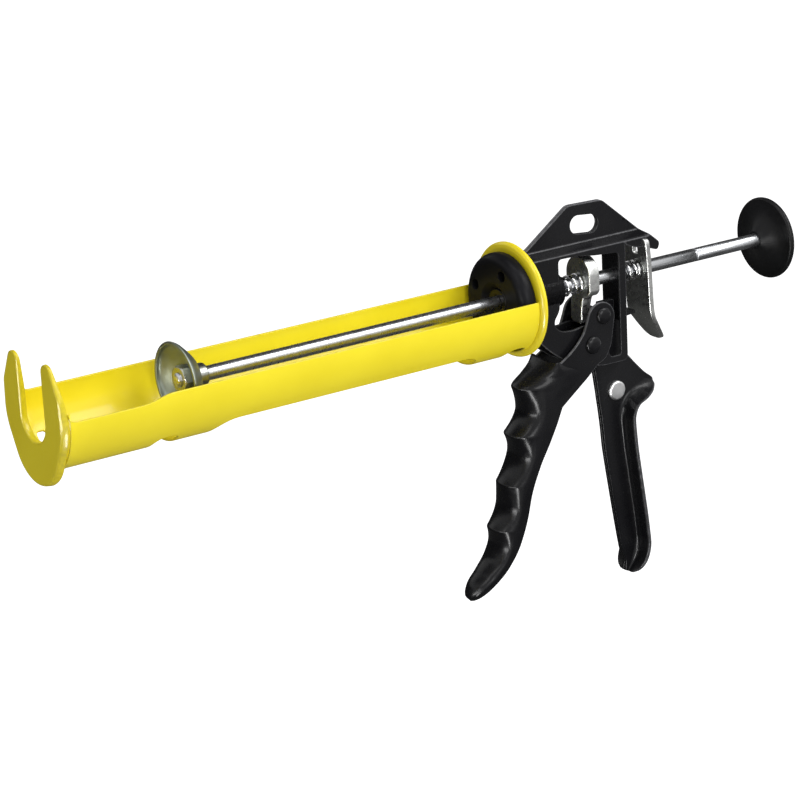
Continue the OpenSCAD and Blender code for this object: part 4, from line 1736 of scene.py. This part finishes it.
    def build(self, wardrobe: Wardrobe) -> None:
        """Builds and dresses the trigger and its two rivets.

        Args:
            wardrobe: Where the finishes come from.
        """
        wardrobe.dress(self.grip(), Slot.FRAME_PAINT, Body.TRIGGER, "trigger_grip")
        for side in Side:
            name = f"trigger_arm_{side.name.lower()}"
            wardrobe.dress(self.arm(side), Slot.FRAME_PAINT, Body.TRIGGER, name, finish="painted_highlight_black_paint")
        thrust = RivetHead(self.thrust, radius=4.4, face=10.6, rise=2.0, shank=3.0)
        wardrobe.dress(thrust.build("thrust_pin_skin", True), Slot.FRAME_PAINT, Body.TRIGGER, "thrust_pin")
        pivot = RivetHead(self.pivot, radius=4.6, face=10.75, rise=2.1, shank=3.5)
        wardrobe.dress(pivot.build("trigger_pivot_skin", True), Slot.FRAME_PAINT, Body.FRAME, "trigger_pivot")


class Station(NamedTuple):
    """One place down the handle: its front edge and its bend as (x, z), and its flange's tip as (x, y, z)."""

    front: tuple[float, float]
    bend: tuple[float, float]
    tip: tuple[float, float, float]


@dataclass
class Handle:
    """Fixed handle: two mirrored pressings back to back, each a flat web with its rear edge bent outwards.

    Attributes:
        sheet: Sheet thickness.
        gap: Distance of each half's inner face from the middle plane.
        bend: How far before and after the corner the bend begins and ends.
        rivet: Axis of the rivet through both halves, as (x, z).
        stations: Shape of one half, from the tongue between the side walls down to the toe.
    """

    sheet: float = 1.78
    gap: float = 0.02
    bend: float = 2.9
    rivet: tuple[float, float] = (326, -60.4)
    stations: tuple[Station, ...] = (
        Station((317.6, -12.4), (322, -12.4), (325.9, 1.8, -12.4)),
        Station((316.4, -20), (322, -20), (325.9, 1.8, -20)),
        Station((312, -22.7), (322, -22.6), (326, 1.8, -22.6)),
        Station((304, -22.9), (324, -23.4), (330.3, 1.8, -22.9)),
        Station((298.6, -25.5), (325, -27), (330.4, 1.8, -26)),
        Station((296.6, -30.5), (326, -32), (330.4, 1.8, -32)),
        Station((298, -36.5), (327, -37), (330.5, 1.8, -38)),
        Station((303, -39.8), (330, -43), (331.4, 1.8, -40.2)),
        Station((311.4, -41.4), (334, -48), (337.2, 1.8, -47.0)),
        Station((312.6, -45), (339, -54), (344.2, 1.8, -54.2)),
        Station((313.4, -48), (341.6, -56.6), (350, 1.8, -59.2)),
        Station((314, -52), (342.4, -58.6), (350.0, 3.0, -61.3)),
        Station((314.6, -56), (341.0, -60.4), (347.6, 5.5, -63.2)),
        Station((315.2, -60), (338.0, -61.9), (343.4, 8.2, -64.7)),
        Station((315.7, -64), (334.4, -64.0), (338.4, 10.0, -66.3)),
        Station((316.3, -68), (331.6, -67.0), (333.8, 10.8, -67.7)),
        Station((316.8, -72), (329.8, -71.2), (330.9, 11, -70.6)),
        Station((317.6, -79), (329.3, -77), (329.5, 11, -76)),
        Station((318.4, -88.7), (330.2, -88), (330.3, 11, -87.6)),
        Station((325, -131.5), (336.1, -131), (336.1, 11, -130.6)),
        Station((327, -143), (337.4, -144), (337.4, 11, -143.6)),
        Station((328, -148), (336.8, -149), (336.7, 11, -148.4)),
        Station((329.6, -152), (335.4, -152.8), (335.2, 10.8, -152.6)),
        Station((330, -155.4), (333.6, -156.2), (333.4, 9.8, -156)),
        Station((329.8, -158.2), (331.9, -158.8), (331.7, 7.6, -158.6)),
        Station((329.6, -159.9), (330.6, -160.3), (330.4, 4.2, -160.2)),
    )

    def half(self, side: Side) -> Piece:
        """One half: at each station, the path from front edge to bend to flange tip, thickened by the sheet.

        The path's corner is the curve (1 - q)^2 A + 2 q (1 - q) K + q^2 B between points A and B beside the
        corner K. The inner face lies along (tb u - ta y), where (ta, tb) is the path's direction in the
        plane of the web's own direction u and the Y axis.

        Args:
            side: Which half.

        Returns:
            The new object.
        """
        marks = np.arange(len(self.stations), dtype=float)
        s = np.linspace(0, marks[-1], 14 * (len(marks) - 1) + 1)
        table = np.array([[*st.front, *st.bend, *st.tip] for st in self.stations])
        fx, fz, kx, kz, ex, ey, ez = (ease(s, np.stack([marks, column], axis=1)) for column in table.T)
        level = np.full_like(fx, self.sheet + self.gap)
        lines = ((fx, level, fz), (kx, level, kz), (ex, ey, ez))
        front, corner, tip = (np.stack(places, axis=1) for places in lines)
        web, flange = corner - front, tip - corner
        web_long, flange_long = (np.linalg.norm(span, axis=1, keepdims=True) for span in (web, flange))
        reach = np.minimum(self.bend, np.minimum(web_long, flange_long) * 0.45)
        start, stop = corner - web / web_long * reach, corner + flange / flange_long * reach
        q = np.linspace(0, 1, 11)[None, :, None]
        bend = (1 - q) ** 2 * start[:, None] + 2 * q * (1 - q) * corner[:, None] + q * q * stop[:, None]
        t = np.linspace(0, 1, 8)[None, :, None]
        before = front[:, None] * (1 - t) + start[:, None] * t
        after = stop[:, None] * (1 - t) + tip[:, None] * t
        path = np.concatenate([before, bend[:, 1:-1], after], axis=1)
        run = np.gradient(path, axis=1)
        run /= np.linalg.norm(run, axis=2, keepdims=True)
        u = (web / web_long)[:, None]
        along = np.sum(run * u, axis=2, keepdims=True)
        back = run[:, :, 1:2] * u - along * np.array([0, 1, 0])
        back /= np.linalg.norm(back, axis=2, keepdims=True)
        inner = path + self.sheet * back
        cap = np.radians(np.linspace(0, 180, 7))[None, 1:-1, None]
        middle = (path[:, -1:] + inner[:, -1:]) / 2
        end = middle - np.cos(cap) * back[:, -1:] * self.sheet / 2 + np.sin(cap) * run[:, -1:] * 0.6
        middle = (path[:, :1] + inner[:, :1]) / 2
        nose = middle + np.cos(cap) * back[:, :1] * self.sheet / 2 - np.sin(cap) * run[:, :1] * 0.5
        sections = np.concatenate([path, end, inner[:, ::-1], nose], axis=1)
        rim = np.zeros(sections.shape[:2])
        # Painted highlight along the flange's outer edge, through the finish's rim colour.
        rim[:, path.shape[1] - 1 : path.shape[1] + 6] = 1
        sections = sections * np.array([1, side.value, 1])
        return loft(f"handle_half_{side.name.lower()}_skin", sections, 40, rim.ravel())

    def build(self, wardrobe: Wardrobe) -> None:
        """Builds and dresses both halves and the rivet that holds them together.

        Args:
            wardrobe: Where the finishes come from.
        """
        for side in Side:
            wardrobe.dress(self.half(side), Slot.FRAME_PAINT, Body.FRAME, f"handle_half_{side.name.lower()}")
        rivet = RivetHead(self.rivet, radius=5.2, face=1.8, rise=1.9, shank=3.0)
        wardrobe.dress(rivet.build("handle_rivet_skin", False), Slot.RIVET, Body.FRAME, "handle_rivet")


# ---- studio ----------------------------------------------------------------------------


def flat_sheet(name: str, corners: Sequence[Sequence[float]]) -> Piece:
    """An object of one four-cornered face.

    Args:
        name: The object's name.
        corners: Its corners in metres.

    Returns:
        The object.
    """
    mesh = bpy.data.meshes.new(name)
    mesh.from_pydata([tuple(c) for c in corners], [], [(0, 1, 2, 3)])
    return put(name, mesh)


def plain_material(thing: Piece, name: str) -> bpy.types.Node:
    """Gives an object of the studio a new material.

    Args:
        thing: The object.
        name: The material's name.

    Returns:
        The material's shader node.
    """
    material = bpy.data.materials.new(name)
    material.use_nodes = True
    thing.data.materials.append(material)
    return material.node_tree.nodes["Principled BSDF"]


@dataclass(frozen=True)
class Softbox:
    """A rectangular studio lamp that looks at a point, in metres.

    Attributes:
        name: Its name.
        place: Where it stands.
        target: Where it looks.
        size: Its width and height.
        power: Its power in watts.
    """

    name: str
    place: Vec
    target: Vec
    size: tuple[float, float]
    power: float

    def build(self) -> None:
        """Places the lamp."""
        data = bpy.data.lights.new(self.name, "AREA")
        data.shape = "RECTANGLE"
        data.size, data.size_y = self.size
        data.energy = self.power
        lamp = put(self.name, data)
        lamp.location = self.place
        lamp.rotation_mode = "QUATERNION"
        lamp.rotation_quaternion = (Vector(self.target) - Vector(self.place)).to_track_quat("-Z", "Y")


@dataclass(frozen=True)
class Card:
    """A flat card that only reflections see, as the flags and reflectors round a product on a table.

    Attributes:
        name: Its name.
        place: Its middle in metres.
        facing: Direction that it faces.
        size: Its width and height in metres.
        glow: Its brightness, where 1 is white paper in full light.
    """

    name: str
    place: Vec
    facing: Vec
    size: tuple[float, float]
    glow: float

    def build(self) -> None:
        """Places the card, hidden from the camera and from diffuse light."""
        w, h = self.size[0] / 2, self.size[1] / 2
        turn, middle = Vector(self.facing).to_track_quat("Z", "Y"), Vector(self.place)
        corners = [turn @ Vector((x, y, 0)) + middle for x, y in ((-w, -h), (w, -h), (w, h), (-w, h))]
        card = flat_sheet(self.name, corners)
        shader = plain_material(card, self.name)
        set_inputs(shader, Base_Color=(0, 0, 0, 1), Specular_IOR_Level=0)
        set_inputs(shader, Emission_Color=(1, 1, 1, 1), Emission_Strength=self.glow)
        card.visible_camera = card.visible_diffuse = card.visible_shadow = card.visible_transmission = False


LAMPS = (
    Softbox("key_softbox", (0.95, -0.85, 1.15), (0.25, 0, 0), (0.8, 0.8), 14),
    Softbox("side_softbox", (0.15, -2.0, 0.75), (0.2, 0, 0), (1.2, 0.8), 19),
    Softbox("top_softbox", (0.1, -0.1, 1.6), (0.2, 0, 0), (0.9, 0.6), 6),
)
CARDS = (
    Card("flag_left", (-0.45, 0.95, -0.1), (0.6, -0.75, 0), (2.2, 1.0), 0.03),
    Card("flag_right", (1.15, -0.85, -0.35), (-0.6, 0.75, 0), (2.0, 0.6), 0.45),
    Card("flag_back", (1.2, 1.1, 0.3), (-0.7, -0.7, 0), (2.4, 1.8), 0.06),
    Card("flag_below", (0.3, 0, -0.55), (0, 0, 1), (3.2, 3.2), 0.08),
    Card("flag_above", (0.8, 0.9, 1.7), (0, 0, -1), (3.6, 2.4), 0.05),
    Card("reflector_low", (-0.04, -0.30, -0.26), (0.74, 0.59, 0.32), (0.09, 0.20), 28.0),
    Card("reflector_side", (-0.23, -0.135, -0.055), (0.96, 0.25, -0.05), (0.34, 0.11), 18.0),
    Card("reflector_high", (-0.35, -0.25, 0.75), (0.6, 0.25, -0.75), (0.35, 0.35), 5.0),
)


@dataclass
class Studio:
    """Camera, pale floor, white surroundings, soft lamps and cards.

    Attributes:
        place: Camera position in metres.
        right: The camera's right-hand direction.
        up: Its upward direction.
        lens: Focal length in millimetres.
        sensor: Width of the sensor in millimetres.
        floor: Height of the floor in metres.
        side: Half the width of the floor.
        paper: Brightness of the floor to the camera and in reflections.
        fill: Strength of the surroundings as a light.
    """

    place: Vec = (-0.5724, -1.1321, 0.3969)
    right: Vec = (0.81822, -0.57279, -0.04938)
    up: Vec = (0.21217, 0.22102, 0.95191)
    lens: float = 133.18
    sensor: float = 36
    floor: float = -0.60
    side: float = 6.0
    paper: float = 0.75
    fill: float = 0.46

    def camera(self) -> None:
        """Places the camera."""
        data = bpy.data.cameras.new("studio_camera")
        data.lens, data.sensor_width = self.lens, self.sensor
        data.clip_start, data.clip_end = 0.05, 20
        camera = put("studio_camera", data)
        right, up = Vector(self.right).normalized(), Vector(self.up).normalized()
        back = right.cross(up).normalized()
        turn = Matrix((right, back.cross(right), back)).transposed().to_4x4()
        camera.matrix_world = Matrix.Translation(self.place) @ turn
        bpy.context.scene.camera = camera

    def surroundings(self) -> None:
        """White to the camera and in reflections, and softer as a light."""
        world = bpy.data.worlds.new("studio_world")
        world.use_nodes = True
        tree = world.node_tree
        background = tree.nodes["Background"]
        seen = seen_by(tree, "Is Camera Ray", "Is Transmission Ray", "Is Glossy Ray")
        strength = add_math(tree, "ADD", add_math(tree, "MULTIPLY", seen, 1 - self.fill), self.fill)
        set_inputs(background, Color=(1, 1, 1, 1))
        tree.links.new(strength, background.inputs["Strength"])
        bpy.context.scene.world = world

    def floor_plane(self) -> None:
        """A wide pale floor that keeps the shadow."""
        s, z = self.side, self.floor
        floor = flat_sheet("studio_floor", [(-s, -s, z), (s, -s, z), (s, s, z), (-s, s, z)])
        shader = plain_material(floor, "studio_floor_paper")
        set_inputs(shader, Base_Color=(0.80, 0.80, 0.80, 1), Roughness=0.95, Specular_IOR_Level=0.0)
        set_inputs(shader, Emission_Color=(1, 1, 1, 1))
        tree = shader.id_data
        glow = add_math(tree, "MULTIPLY", seen_by(tree, "Is Camera Ray", "Is Glossy Ray"), self.paper)
        tree.links.new(glow, shader.inputs["Emission Strength"])

    def build(self) -> None:
        """Builds the studio."""
        self.camera()
        self.surroundings()
        self.floor_plane()
        for light in (*LAMPS, *CARDS):
            light.build()
        bpy.context.scene.view_settings.view_transform = "Standard"


def main() -> None:
    """Builds the studio and the gun."""
    logging.basicConfig(level=logging.INFO, format="%(message)s")
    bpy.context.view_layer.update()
    Shared.build()
    Studio().build()
    wardrobe = Wardrobe()
    for part in (Cradle(), Swivel(), Rod(), Mechanism(), FrameSides(), Trigger(), Handle()):
        part.build(wardrobe)
    bpy.context.view_layer.update()


if __name__ == "__main__":
    main()
